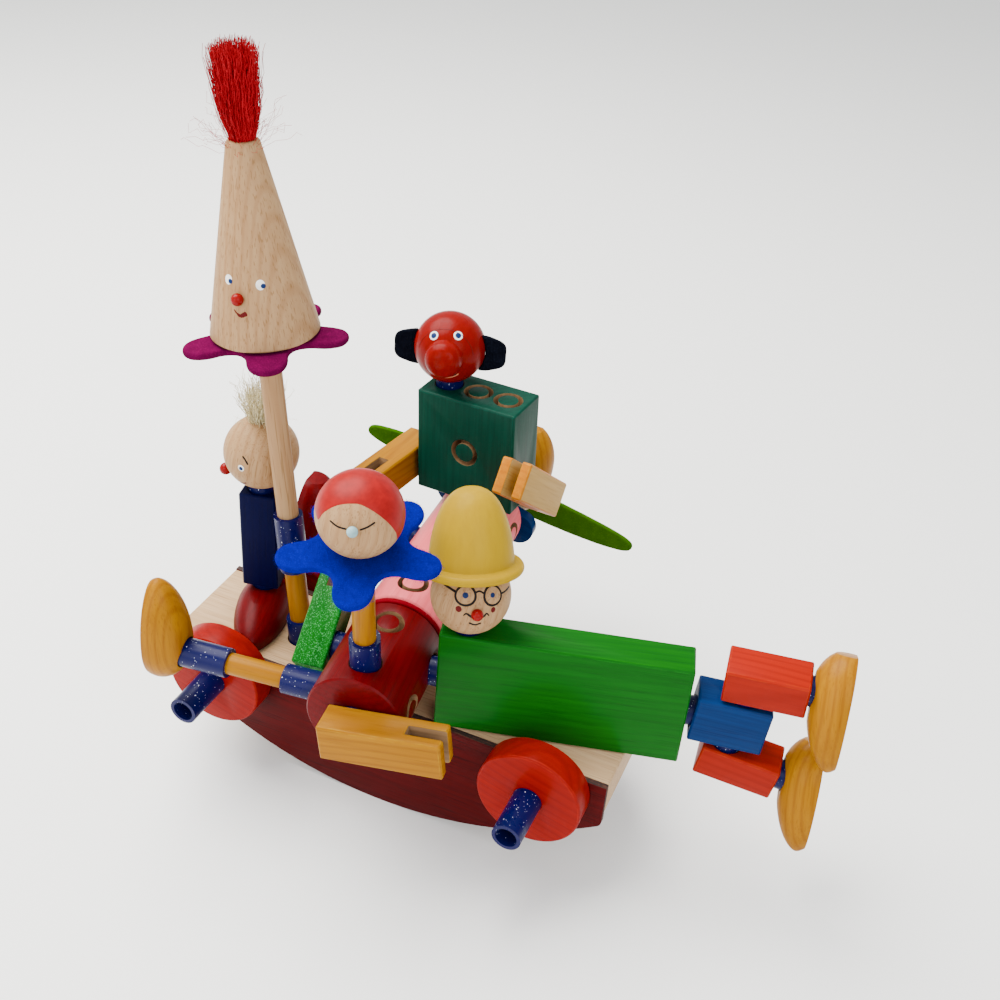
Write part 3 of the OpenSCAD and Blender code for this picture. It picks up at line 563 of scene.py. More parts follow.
    # A line scored through the lacquer: pale wood shows.
    SCORE = PaintFinish("wood_scored_pale_line", "beech_wood", "C98763", rough=0.5)
    # Dyed wool fibre: deep red, lighter from strand to strand, dull.
    RED_HAIR = HairFinish("wool_fibre_dyed_red", "red_hair", "84000C", light="B20018")
    # Undyed wool fibre: cream, nearly white at the tips.
    BLOND_HAIR = HairFinish("wool_fibre_pale", "blond_hair", "CCBB8B", light="DCD2AD")
    # Dyed felt: dense magenta nap with lighter loose hairs.
    MAGENTA = FeltFinish("felt_die_cut_magenta", "magenta_felt", "46002A", light="780048")
    # Dyed felt: dark crimson nap, no shine.
    CRIMSON = FeltFinish("felt_die_cut_crimson", "crimson_felt", "6A000F", light="85021B")
    # Dyed felt: ultramarine nap with lighter loose hairs.
    BLUE_FELT = FeltFinish("felt_die_cut_blue", "blue_felt", "01016A", light="0A0E9E")
    # Dyed felt: olive nap, mottled.
    LEAF = FeltFinish("felt_die_cut_olive", "green_felt", "254C00", light="447000")
    # Dyed felt: blue-black nap that swallows the light.
    BLACK = FeltFinish("felt_die_cut_black", "black_felt", "04050B", light="191D2C")
    # Matt paper: near white, no highlight.
    FLOOR = PaperFinish("paper_sweep_pale", "", "F3F3F1")


class Cut(Enum):
    """How a piece was cut, which sets the run of its grain."""

    SAWN = "sawn"
    TURNED = "turned"
    WHEEL = "wheel"
    BALL = "ball"
    # Tubes and dipped beads: no grain to follow and no corners to round.
    PLAIN = "plain"


@dataclass(frozen=True)
class Part:
    """One node of the model and how its merged, softened copy is dressed."""

    node: str
    look: Look
    cut: Cut
    inner: Optional[Look] = Look.BARE_WITH_PAINTED_SHADE
    soften: float = 0.3 * MM


def unit(vector: Sequence[float]) -> np.ndarray:
    """A vector made one long."""
    v = np.asarray(vector, float)
    return v / max(float(np.linalg.norm(v)), 1e-12)


def points_of(mesh: bpy.types.Mesh) -> np.ndarray:
    """A mesh's points, one row each."""
    return np.array([v.co for v in mesh.vertices])


def node_points(node: str) -> np.ndarray:
    """A CAD node's points, one row each."""
    return points_of(frame["nodes"][node].data)


def merged(node: str, flatten: bool = True) -> bmesh.types.BMesh:
    """A node's mesh with its corners joined and, if asked, its flat faces made whole.

    Args:
        node: The CAD node's name.
        flatten: True to dissolve the edges inside flat faces.

    Returns:
        A new edit mesh, which the caller frees.
    """
    work = bmesh.new()
    work.from_mesh(frame["nodes"][node].data)
    bmesh.ops.remove_doubles(work, verts=work.verts, dist=3e-6)
    if flatten:
        bmesh.ops.dissolve_limit(
            work, angle_limit=math.radians(0.4), verts=work.verts, edges=work.edges
        )
    work.normal_update()
    return work


def spread_axis(points: np.ndarray) -> tuple[np.ndarray, float]:
    """The axis along which points are spread most, and how much more than the next."""
    values, vectors = np.linalg.eigh(np.cov((points - points.mean(0)).T))
    return vectors[:, 2], float(values[2] / max(values[1], 1e-18))


def upward_axis(points: np.ndarray) -> np.ndarray:
    """The long axis of a standing piece, pointing up."""
    axis, _ = spread_axis(points)
    return axis * np.sign(axis[2])


def grain_axes(work: bmesh.types.BMesh, cut: Cut) -> np.ndarray:
    """Three axes of a piece, with the run of the grain first.

    Args:
        work: The piece's mesh.
        cut: How it was cut.

    Returns:
        A 3 x 3 array of row vectors.
    """
    if cut is Cut.BALL:
        first = unit((0.12, 0.10, 1.0))
    else:
        # The 40 largest faces are enough to find a sawn piece's sides.
        faces = sorted(work.faces, key=lambda f: -f.calc_area())[:40]
        first = unit(faces[0].normal)
        points = np.array([v.co for v in work.verts])
        if cut is Cut.SAWN:
            second = next(
                (unit(f.normal) for f in faces if abs(unit(f.normal) @ first) < 0.05),
                unit(np.cross(first, (0.3, 0.5, 0.8))),
            )
            axes = np.array([first, second, unit(np.cross(first, second))])
            size = np.ptp(points @ axes.T, axis=0)
            return axes[np.argsort(-size)]
        axis, ratio = spread_axis(points)
        if ratio > 1.8:
            first = unit(axis)
        if cut is Cut.WHEEL:
            first = unit(np.cross(unit(faces[0].normal), (0.25, 0.1, 1.0)))
    second = unit(np.cross(first, (0.31, 0.83, 0.47)))
    return np.array([first, second, unit(np.cross(first, second))])


def write_vectors(mesh: bpy.types.Mesh, name: str, values: np.ndarray) -> None:
    """Stores one vector per vertex as a named attribute."""
    layer = mesh.attributes.new(name, "FLOAT_VECTOR", "POINT")
    layer.data.foreach_set("vector", np.asarray(values, np.float32).ravel())


def grain_coordinates(
    mesh: bpy.types.Mesh, axes: np.ndarray, number: int
) -> None:
    """Writes each vertex's place along and across the grain, shifted for each piece.

    Args:
        mesh: The piece's mesh.
        axes: Its grain axes.
        number: The piece's number, which picks its part of the plank.
    """
    points = points_of(mesh)
    middle = (points.max(0) + points.min(0)) / 2
    along = 137 * MM * number
    across = 6.1 * MM * ((number * 7) % 11 - 5)
    deep = 4.7 * MM * ((number * 5) % 9 - 4)
    write_vectors(mesh, "grain", (points - middle) @ axes.T + (along, across, deep))


def hull_depth(work: bmesh.types.BMesh, centres: np.ndarray) -> np.ndarray:
    """How far below the piece's convex outside each point lies.

    Args:
        work: The piece's mesh.
        centres: The points.

    Returns:
        One depth in metres for each point.
    """
    hull = bmesh.new()
    for v in work.verts:
        hull.verts.new(v.co)
    bmesh.ops.convex_hull(hull, input=hull.verts)
    bmesh.ops.recalc_face_normals(hull, faces=hull.faces)
    hull.normal_update()
    normals = np.array([f.normal for f in hull.faces if f.calc_area() > 1e-10])
    anchors = np.array([f.verts[0].co for f in hull.faces if f.calc_area() > 1e-10])
    hull.free()
    level = (normals * anchors).sum(1)
    return (level[None] - centres @ normals.T).min(1)


def linked(name: str, data: bpy.types.ID) -> bpy.types.Object:
    """A new object in the scene for a mesh, light or camera.

    Args:
        name: The object's name.
        data: What it holds.

    Returns:
        The object.
    """
    obj = bpy.data.objects.new(name, data)
    bpy.context.scene.collection.objects.link(obj)
    return obj


def add_piece(
    name: str, mesh: bpy.types.Mesh, body: str, replaces: Sequence[str] = ()
) -> bpy.types.Object:
    """Puts a mesh into the scene as a piece that moves with a body.

    Args:
        name: The piece's name.
        mesh: Its mesh, in the row frame.
        body: The body that it moves with.
        replaces: The CAD nodes that it stands for.

    Returns:
        The new object.
    """
    obj = linked(name, mesh)
    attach(obj, body)
    if replaces:
        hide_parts(*replaces)
    log.info("%s: %d faces on %s", name, len(mesh.polygons), body)
    return obj


def body_of(node: str) -> str:
    """The body that a CAD node belongs to."""
    return frame["nodes"][node]["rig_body"]


_numbers: dict[str, int] = {}


def round_edges(work: bmesh.types.BMesh, offset: float) -> set[bmesh.types.BMFace]:
    """Rounds a piece's sharp edges in two steps.

    Args:
        work: The piece's mesh.
        offset: How far from the edge the rounding starts, in metres.

    Returns:
        The faces of the rounding.
    """
    sharp = [
        e for e in work.edges
        if len(e.link_faces) == 2 and e.calc_face_angle(0.0) > SHARP_EDGE
        and e.calc_length() > 0.05 * MM
    ]
    made = bmesh.ops.bevel(
        work, geom=sharp, offset=offset, offset_type="OFFSET", segments=2,
        profile=0.5, affect="EDGES", clamp_overlap=True,
    )
    return set(made["faces"])


def bare_and_shaded_recesses(work: bmesh.types.BMesh, whole: bmesh.types.BMesh, cut: Cut) -> None:
    """Gives the walls of grooves, slots and holes the piece's inner finish, for most pieces bare
    wood painted darker as the shade in them.

    Args:
        work: The piece's softened mesh.
        whole: Its mesh before the softening.
        cut: How it was cut.
    """
    work.faces.ensure_lookup_table()
    centres = np.array([f.calc_center_median() for f in work.faces])
    if cut is Cut.BALL:
        points = np.array([v.co for v in whole.verts])
        middle = (points.max(0) + points.min(0)) / 2
        depth = np.ptp(points, axis=0).min() / 2 - np.linalg.norm(centres - middle, axis=1)
    else:
        depth = hull_depth(whole, centres)
    for f, d in zip(work.faces, depth):
        f.material_index = int(d > RECESS)


def soften_piece(part: Part) -> bpy.types.Object:
    """Makes the merged, bevelled, smooth-shaded copy that stands for a node.

    Args:
        part: The node and its dressing.

    Returns:
        The new piece.
    """
    number = _numbers.setdefault(part.node, len(_numbers) + 1)
    work = merged(part.node)
    axes = grain_axes(work, part.cut)
    whole = work.copy()
    rounded = set() if part.cut is Cut.PLAIN else round_edges(work, part.soften)
    edge = work.loops.layers.float.new("edge")
    for f in work.faces:
        f.smooth = True
        if f in rounded:
            for loop in f.loops:
                loop[edge] = 1.0
    work.normal_update()
    for e in work.edges:
        if len(e.link_faces) == 2 and e.calc_face_angle(0.0) > CREASE:
            e.smooth = False
    if part.inner:
        bare_and_shaded_recesses(work, whole, part.cut)
    whole.free()
    mesh = bpy.data.meshes.new(part.node)
    work.to_mesh(mesh)
    work.free()
    mesh.materials.append(part.look.value.material())
    if part.inner:
        mesh.materials.append(part.inner.value.material())
    grain_coordinates(mesh, axes, number)
    return add_piece(part.node + "_piece", mesh, body_of(part.node), (part.node,))


def scorch_panel(part: Part) -> bpy.types.Object:
    """A side panel whose cut edges are scorched.

    Args:
        part: The panel and its dressing; its inner finish is the scorch.

    Returns:
        The new piece.
    """
    piece = soften_piece(part)
    across = np.array([p.normal for p in piece.data.polygons])[:, 1]
    for polygon, ny in zip(piece.data.polygons, across):
        polygon.material_index = int(abs(ny) < 0.5)
    return piece


def bare_sided(part: Part) -> bpy.types.Object:
    """A sawn piece whose two widest sides show its inner finish.

    Args:
        part: The piece and its dressing.

    Returns:
        The new piece.
    """
    piece = soften_piece(part)
    work = merged(part.node)
    thin = grain_axes(work, part.cut)[2]
    work.free()
    for polygon in piece.data.polygons:
        if abs(float(np.dot(polygon.normal, thin))) > 0.93:
            polygon.material_index = 1
    return piece


def grid_mesh(
    name: str, rows: np.ndarray, look: Look, closed: tuple[bool, bool] = (True, True)
) -> bpy.types.Mesh:
    """A smooth mesh from a grid of points.

    Args:
        name: The mesh's name.
        rows: Points as an array of rows x columns x 3, in the row frame.
        look: Its finish.
        closed: Whether the rows and the columns close on themselves.

    Returns:
        The mesh.
    """
    count, width = rows.shape[:2]
    faces = []
    for i in range(count if closed[0] else count - 1):
        for j in range(width if closed[1] else width - 1):
            k, m = (i + 1) % count, (j + 1) % width
            faces.append((i * width + j, k * width + j, k * width + m, i * width + m))
    mesh = bpy.data.meshes.new(name)
    mesh.from_pydata(rows.reshape(-1, 3).tolist(), [], faces)
    mesh.update()
    for polygon in mesh.polygons:
        polygon.use_smooth = True
    mesh.materials.append(look.value.material())
    return mesh


def resample(loop: np.ndarray, count: int) -> np.ndarray:
    """Points evenly spaced along a closed line.

    Args:
        loop: The line's points.
        count: How many points to place.

    Returns:
        The new points.
    """
    ring = np.vstack([loop, loop[:1]])
    walked = np.concatenate([[0], np.cumsum(np.linalg.norm(np.diff(ring, axis=0), axis=1))])
    marks = np.linspace(0, walked[-1], count, endpoint=False)
    return np.stack([np.interp(marks, walked, ring[:, i]) for i in range(loop.shape[1])], 1)


def ease(loop: np.ndarray, reach: int) -> np.ndarray:
    """A closed line rounded by averaging each point with its neighbours."""
    total = sum(np.roll(loop, k, axis=0) for k in range(-reach, reach + 1))
    return total / (2 * reach + 1)


@dataclass
class FeltCut:
    """A flat felt shape read from its CAD node: a plane, an outline and perhaps a hole."""

    middle: np.ndarray
    across: np.ndarray
    up: np.ndarray
    normal: np.ndarray
    outline: np.ndarray
    hole: float
    thick: float
    edge_r: float = 0.9 * MM
    uneven: float = 0.07 * MM

    def flat_size(self) -> tuple[float, float, float]:
        """The size of the cut when it lies flat.

        Returns:
            Width, length and area, in metres.
        """
        x, y = self.outline[:, 0], self.outline[:, 1]
        area = abs(float(np.dot(x, np.roll(y, 1)) - np.dot(y, np.roll(x, 1)))) / 2
        size = sorted(float(s) for s in np.ptp(self.outline, axis=0))
        return size[0], size[1], area - math.pi * self.hole**2

    def square_off(self, power: float) -> None:
        """Fills out the corners of a round outline, by 16 % at most.

        Args:
            power: The power of the superellipse: 2 is round, more is squarer.
        """
        middle = (self.outline.max(0) + self.outline.min(0)) / 2
        way = self.outline - middle
        way = np.abs(way) / (np.linalg.norm(way, axis=1)[:, None] + 1e-12)
        grow = (way**2).sum(1) ** 0.5 / ((way**power).sum(1) ** (1 / power))
        self.outline = middle + (self.outline - middle) * np.minimum(grow, 1.16)[:, None]

    def mesh(
        self, name: str, look: Look, wave: Callable[[np.ndarray], np.ndarray], seed: int
    ) -> bpy.types.Mesh:
        """The felt as a rounded-edged sheet with its own slight bends.

        Args:
            name: The mesh's name.
            look: Its finish.
            wave: Gives the rise of the sheet, in metres, from flat places.
            seed: Seed of its small unevenness.

        Returns:
            The mesh, in the row frame.
        """
        rng = np.random.default_rng(seed)
        side = np.roll(self.outline, -1, axis=0) - np.roll(self.outline, 1, axis=0)
        out = np.stack([side[:, 1], -side[:, 0]], 1)
        out /= np.linalg.norm(out, axis=1)[:, None] + 1e-12
        if np.sum(out * self.outline) < 0:
            out = -out
        half = self.thick / 2
        round_r = min(half, self.edge_r)
        inset = self.outline - out * round_r
        turn = np.arctan2(inset[:, 1], inset[:, 0])
        hub = np.stack([np.cos(turn), np.sin(turn)], 1) * self.hole
        steps = np.linspace(0, 1, 14)
        section = [(hub + (inset - hub) * t, -half) for t in steps]
        for angle in np.linspace(-75, 75, 6):
            a = math.radians(angle)
            section.append((inset + out * round_r * math.cos(a), half * math.sin(a)))
        section += [(hub + (inset - hub) * t, half) for t in steps[::-1]]
        rough = rng.normal(0, self.uneven, (len(section), len(self.outline)))
        rows = []
        for (flat, z), bump in zip(section, rough):
            rise = z + wave(flat) + ease(bump[:, None], 2)[:, 0]
            rows.append(
                self.middle + flat[:, :1] * self.across + flat[:, 1:] * self.up
                + rise[:, None] * self.normal
            )
        return grid_mesh(name, np.array(rows).transpose(1, 0, 2), look)


def face_loops(work: bmesh.types.BMesh, normal: np.ndarray, level: float) -> list[np.ndarray]:
    """The closed border lines of a mesh's flat top.

    Args:
        work: The mesh.
        normal: The top's direction.
        level: The top's distance along it.

    Returns:
        Each border as an array of points, the longest first.
    """
    top = {
        f for f in work.faces
        if unit(f.normal) @ normal > 0.99
        and abs(np.dot(f.calc_center_median(), normal) - level) < 0.05 * MM
    }
    links: dict[int, list[int]] = {}
    places: dict[int, np.ndarray] = {}
    for e in work.edges:
        if sum(f in top for f in e.link_faces) == 1:
            a, b = e.verts
            links.setdefault(a.index, []).append(b.index)
            links.setdefault(b.index, []).append(a.index)
            places[a.index], places[b.index] = np.array(a.co), np.array(b.co)
    loops = []
    while links:
        start = here = next(iter(links))
        loop = []
        while links.get(here):
            step = links[here].pop()
            if here in links.get(step, []):
                links[step].remove(here)
            if not links[here]:
                del links[here]
            loop.append(places[here])
            here = step
            if here == start:
                break
        links = {k: v for k, v in links.items() if v}
        if len(loop) > 2:
            loops.append(np.array(loop))
    return sorted(loops, key=lambda p: -float(np.ptp(p, axis=0).sum()))


def keep_shape(work: bmesh.types.BMesh, part: int) -> None:
    """Deletes all but one of a mesh's separate shapes.

    Args:
        work: The mesh.
        part: Which shape stays, counted from the left.
    """
    work.verts.ensure_lookup_table()
    work.verts.index_update()
    seen: set[int] = set()
    groups = []
    for v in work.verts:
        stack, group = [v], []
        while stack:
            w = stack.pop()
            if w.index not in seen:
                seen.add(w.index)
                group.append(w)
                stack += [e.other_vert(w) for e in w.link_edges]
        if group:
            groups.append(group)
    groups.sort(key=lambda g: sum(w.co.x for w in g) / len(g))
    drop = [w for i, g in enumerate(groups) if i != part for w in g]
    bmesh.ops.delete(work, geom=drop, context="VERTS")


def read_felt(node: str, count: int, rounding: int, part: Optional[int] = None) -> FeltCut:
    """Reads a felt shape's plane and outline from its CAD node.

    Args:
        node: The node's name.
        count: Points on the new outline.
        rounding: How many neighbours round each point.
        part: For a node of several separate shapes, which one, from the left.

    Returns:
        The cut.
    """
    work = merged(node, flatten=False)
    if part is not None:
        keep_shape(work, part)
    work.verts.index_update()
    areas: dict[tuple, float] = {}
    for f in work.faces:
        key = tuple(np.round(np.array(f.normal) * np.sign(f.normal.z + 1e-3 * f.normal.y), 2))
        areas[key] = areas.get(key, 0.0) + f.calc_area()
    rough = unit(max(areas, key=areas.get))
    chosen = [f for f in work.faces if unit(f.normal) @ rough > 0.999]
    normal = unit(sum(np.array(f.normal) * f.calc_area() for f in chosen))
    points = np.array([v.co for v in work.verts])
    heights = points @ normal
    loops = face_loops(work, normal, float(heights.max()))
    work.free()
    thick = float(np.ptp(heights))
    hole_line = loops[1] if len(loops) > 1 else None
    middle = (hole_line if hole_line is not None else loops[0]).mean(0)
    across = unit(np.cross(normal, (0.0, 0.0, 1.0) if abs(normal[2]) < 0.7 else (0.0, 1.0, 0.0)))
    up = np.cross(normal, across)
    flat = np.stack([(loops[0] - middle) @ across, (loops[0] - middle) @ up], 1)
    # A cut without a hole closes on a point too small to see.
    hole = 0.02 * MM
    if hole_line is not None:
        hole = float(np.linalg.norm(hole_line - middle, axis=1).mean())
    outline = ease(resample(flat, count), rounding)
    # The sheet is 4 % thinner than the solid, which leaves room for its unevenness.
    return FeltCut(
        middle - normal * thick / 2, across, up, normal, outline, hole, thick * 0.96
    )


class TreeSheet:
    """One Geometry Nodes tree and the helper that adds its nodes."""

    def __init__(self, name: str, sockets: Sequence[tuple[str, str]]) -> None:
        """Starts a tree with a geometry in, a geometry out and named inputs.

        Args:
            name: The tree's name.
            sockets: Each further input's label and kind.
        """
        self.tree = bpy.data.node_groups.new(name, "GeometryNodeTree")
        face = self.tree.interface
        face.new_socket("Geometry", in_out="INPUT", socket_type="NodeSocketGeometry")
        for label, kind in sockets:
            face.new_socket(label, in_out="INPUT", socket_type="NodeSocket" + kind)
        face.new_socket("Geometry", in_out="OUTPUT", socket_type="NodeSocketGeometry")
        self.start = self.tree.nodes.new("NodeGroupInput")
        self.end = self.tree.nodes.new("NodeGroupOutput")

    def add(
        self, kind: str, values: Optional[dict] = None, out: object = 0, **settings: object
    ) -> bpy.types.NodeSocket:
        """Adds one node.

        Args:
            kind: The node's full type name.
            values: Its inputs by name or index, each a value or a socket.
            out: The output to hand back, by name or index.
            settings: The node's own properties.

        Returns:
            The chosen output socket.
        """
        node = self.tree.nodes.new(kind)
        for key, value in settings.items():
            setattr(node, key, value)
        for key, value in (values or {}).items():
            if isinstance(value, bpy.types.NodeSocket):
                self.tree.links.new(value, node.inputs[key])
            else:
                node.inputs[key].default_value = value
        return node.outputs[out]

    def given(self, label: str) -> bpy.types.NodeSocket:
        """A named input of the tree."""
        return self.start.outputs[label]

    def close(self, geometry: bpy.types.NodeSocket, look_input: str) -> None:
        """Ends the tree in Realize Instances and Set Material.

        Args:
            geometry: What the tree has made.
            look_input: The label of the input that holds its material.
        """
        real = self.add("GeometryNodeRealizeInstances", {0: geometry})
        done = self.add(
            "GeometryNodeSetMaterial", {"Geometry": real, "Material": self.given(look_input)}
        )
        self.tree.links.new(done, self.end.inputs[0])


def fibre_tree() -> bpy.types.NodeTree:
    """The tree that strews short bent fibres over a felt surface.

    Returns:
        The tree.
    """
    sheet = TreeSheet(
        "felt_fibres",
        [("Density", "Float"), ("Fibre length", "Float"), ("Fibre radius", "Float"),
         ("Lean", "Float"), ("Seed", "Int"), ("Finish", "Material")],
    )
    spots = sheet.add(
        "GeometryNodeDistributePointsOnFaces",
        {"Mesh": sheet.given("Geometry"), "Density": sheet.given("Density"),
         "Seed": sheet.given("Seed")}, out="Points",
    )
    length = sheet.given("Fibre length")
    aside = sheet.add("ShaderNodeMath", {0: length, 1: 0.5}, operation="MULTIPLY")
    tip = sheet.add("ShaderNodeCombineXYZ", {0: aside, 2: length})
    knee = sheet.add("ShaderNodeMath", {0: length, 1: 0.6}, operation="MULTIPLY")
    middle = sheet.add("ShaderNodeCombineXYZ", {2: knee})
    strand = sheet.add(
        "GeometryNodeCurveQuadraticBezier",
        {"Resolution": 3, "Start": (0.0, 0.0, 0.0), "Middle": middle, "End": tip},
    )
    ring = sheet.add(
        "GeometryNodeCurvePrimitiveCircle",
        {"Resolution": 3, "Radius": sheet.given("Fibre radius")},
    )
    fibre = sheet.add("GeometryNodeCurveToMesh", {"Curve": strand, "Profile Curve": ring})
    placed = sheet.add(
        "GeometryNodeInstanceOnPoints",
        {"Points": spots, "Instance": fibre, "Rotation": spots.node.outputs["Rotation"]},
    )
    back = sheet.add("ShaderNodeMath", {0: sheet.given("Lean"), 1: -1.0}, operation="MULTIPLY")
    low = sheet.add("ShaderNodeCombineXYZ", {0: back})
    high = sheet.add("ShaderNodeCombineXYZ", {0: sheet.given("Lean"), 2: math.tau})
    tilt = sheet.add(
        "FunctionNodeRandomValue",
        {0: low, 1: high, "Seed": sheet.given("Seed")}, data_type="FLOAT_VECTOR",
    )
    turned = sheet.add(
        "GeometryNodeRotateInstances", {"Instances": placed, "Rotation": tilt}
    )
    sheet.close(turned, "Finish")
    return sheet.tree


def tuft_tree() -> bpy.types.NodeTree:
    """The tree that grows a flaring tuft of wavy strands from a root disc.

    Returns:
        The tree.
    """
    sheet = TreeSheet(
        "hair_tuft",
        [("Density", "Float"), ("Strand length", "Float"), ("Strand radius", "Float"),
         ("Spread", "Float"), ("Flare", "Float"), ("Wave", "Float"), ("Seed", "Int"),
         ("Finish", "Material")],
    )
    spots = sheet.add(
        "GeometryNodeDistributePointsOnFaces",
        {"Mesh": sheet.given("Geometry"), "Density": sheet.given("Density"),
         "Seed": sheet.given("Seed")}, out="Points",
    )
    tip = sheet.add("ShaderNodeCombineXYZ", {2: sheet.given("Strand length")})
    line = sheet.add("GeometryNodeCurvePrimitiveLine", {"Start": (0.0, 0.0, 0.0), "End": tip})
    strand = sheet.add("GeometryNodeResampleCurve", {"Curve": line, "Count": 11})
    high = sheet.add("ShaderNodeCombineXYZ", {0: sheet.given("Spread"), 2: math.tau})
    tilt = sheet.add(
        "FunctionNodeRandomValue",
        {0: (0.0, 0.0, 0.0), 1: high, "Seed": sheet.given("Seed")}, data_type="FLOAT_VECTOR",
    )
    size = sheet.add(
        "FunctionNodeRandomValue", {2: 0.62, 3: 1.0, "Seed": sheet.given("Seed")}, out=1,
        data_type="FLOAT",
    )
    kept = sheet.add(
        "GeometryNodeStoreNamedAttribute",
        {"Geometry": spots, "Name": "root",
         "Value": sheet.add("GeometryNodeInputPosition")}, data_type="FLOAT_VECTOR",
        domain="POINT",
    )
    placed = sheet.add(
        "GeometryNodeInstanceOnPoints",
        {"Points": kept, "Instance": strand, "Scale": size},
    )
    turned = sheet.add(
        "GeometryNodeRotateInstances", {"Instances": placed, "Rotation": tilt}
    )
    loose = sheet.add("GeometryNodeRealizeInstances", {0: turned})
    place = sheet.add("GeometryNodeInputPosition")
    noise = sheet.add(
        "ShaderNodeTexNoise", {"Vector": place, "Scale": 230.0, "Detail": 3.0}, out="Color"
    )
    centred = sheet.add(
        "ShaderNodeVectorMath", {0: noise, 1: (0.5, 0.5, 0.5)}, operation="SUBTRACT"
    )
    # The wave's noise has cells of 4.3 mm and grows from nothing at the root.
    along = sheet.add("GeometryNodeSplineParameter")
    grow = sheet.add("ShaderNodeMath", {0: along, 1: sheet.given("Wave")}, operation="MULTIPLY")
    push = sheet.add(
        "ShaderNodeVectorMath", {0: centred, "Scale": grow}, operation="SCALE"
    )
    # The strands flare away from the middle at once and then run nearly parallel.
    rest = sheet.add("ShaderNodeMath", {0: 1.0, 1: along}, operation="SUBTRACT")
    near = sheet.add("ShaderNodeMath", {0: rest, 1: 3.0}, operation="POWER")
    wide = sheet.add("ShaderNodeMath", {0: 1.0, 1: near}, operation="SUBTRACT")
    root = sheet.add(
        "GeometryNodeInputNamedAttribute", {"Name": "root"}, data_type="FLOAT_VECTOR"
    )
    reach = sheet.add("ShaderNodeMath", {0: wide, 1: sheet.given("Flare")}, operation="MULTIPLY")
    belly = sheet.add("ShaderNodeVectorMath", {0: root, "Scale": reach}, operation="SCALE")
    both = sheet.add("ShaderNodeVectorMath", {0: push, 1: belly}, operation="ADD")
    waved = sheet.add("GeometryNodeSetPosition", {"Geometry": loose, "Offset": both})
    ring = sheet.add(
        "GeometryNodeCurvePrimitiveCircle",
        {"Resolution": 3, "Radius": sheet.given("Strand radius")},
    )
    solid = sheet.add("GeometryNodeCurveToMesh", {"Curve": waved, "Profile Curve": ring})
    sheet.close(solid, "Finish")
    return sheet.tree


def grown(
    base: bpy.types.Mesh, tree: bpy.types.NodeTree, inputs: dict[str, object], name: str
) -> bpy.types.Mesh:
    """Runs a Geometry Nodes tree on a mesh once and keeps the result as a plain mesh.

    Args:
        base: The surface that the tree starts from.
        tree: The tree.
        inputs: The tree's inputs by label.
        name: The new mesh's name.

    Returns:
        The plain mesh.
    """
    holder = linked(name + "_base", base)
    modifier = holder.modifiers.new(tree.name, "NODES")
    modifier.node_group = tree
    for item in tree.interface.items_tree:
        if item.item_type == "SOCKET" and item.in_out == "INPUT" and item.name in inputs:
            modifier[item.identifier] = inputs[item.name]
    holder.update_tag()
    graph = bpy.context.evaluated_depsgraph_get()
    mesh = bpy.data.meshes.new_from_object(holder.evaluated_get(graph), depsgraph=graph)
    mesh.name = name
    holder.modifiers.remove(modifier)
    bpy.data.objects.remove(holder)
    return mesh


class FaceMap:
    """A turned surface that paint lies on: a ball or a cone."""

    def onto(self, point: np.ndarray, lift: float) -> np.ndarray:
        """A point moved onto the surface and lifted off it."""
        raise NotImplementedError

    def spot(self, turn: float, height: float) -> np.ndarray:
        """A place on the surface, from its turn in degrees and its height."""
        raise NotImplementedError


@dataclass
class BallFace(FaceMap):
    """A ball head: places are azimuth from the front towards the right, and elevation."""

    middle: np.ndarray
    radius: float = BALL_R

    def onto(self, point: np.ndarray, lift: float) -> np.ndarray:
        """A point moved onto the ball."""
        return self.middle + unit(point - self.middle) * (self.radius + lift)

    def spot(self, turn: float, height: float) -> np.ndarray:
        """A place on the ball.

        Args:
            turn: Azimuth from the front towards the right, in degrees.
            height: Elevation, in degrees.

        Returns:
            The place.
        """
        a, e = math.radians(turn), math.radians(height)
        way = np.array([math.sin(a) * math.cos(e), -math.cos(a) * math.cos(e), math.sin(e)])
        return self.middle + way * self.radius


@dataclass
class ConeFace(FaceMap):
    """The cone head: places are the turn round its axis and the height up it in metres."""

    foot: np.ndarray
    axis: np.ndarray
    base_r: float
    slope: float

    def onto(self, point: np.ndarray, lift: float) -> np.ndarray:
        """A point moved onto the cone.

        Args:
            point: Any point beside the cone.
            lift: How far off the cone it ends up, in metres.

        Returns:
            The moved point.
        """
        up = float((point - self.foot) @ self.axis)
        out = unit(point - self.foot - self.axis * up)
        tilt = math.atan(self.slope)
        flat = out * (self.base_r - self.slope * up)
        return self.foot + self.axis * up + flat + (
            out * math.cos(tilt) + self.axis * math.sin(tilt)
        ) * lift

    def spot(self, turn: float, height: float) -> np.ndarray:
        """A place on the cone.

        Args:
            turn: The turn round the axis from the front, in degrees.
            height: The height up the axis, in metres.

        Returns:
            The place.
        """
        a = math.radians(turn)
        right = unit(np.cross((0.0, 1.0, 0.0), self.axis))
        front = -unit(np.cross(self.axis, right))
        way = right * math.sin(a) + front * math.cos(a)
        return self.onto(self.foot + self.axis * height + way, 0.0)


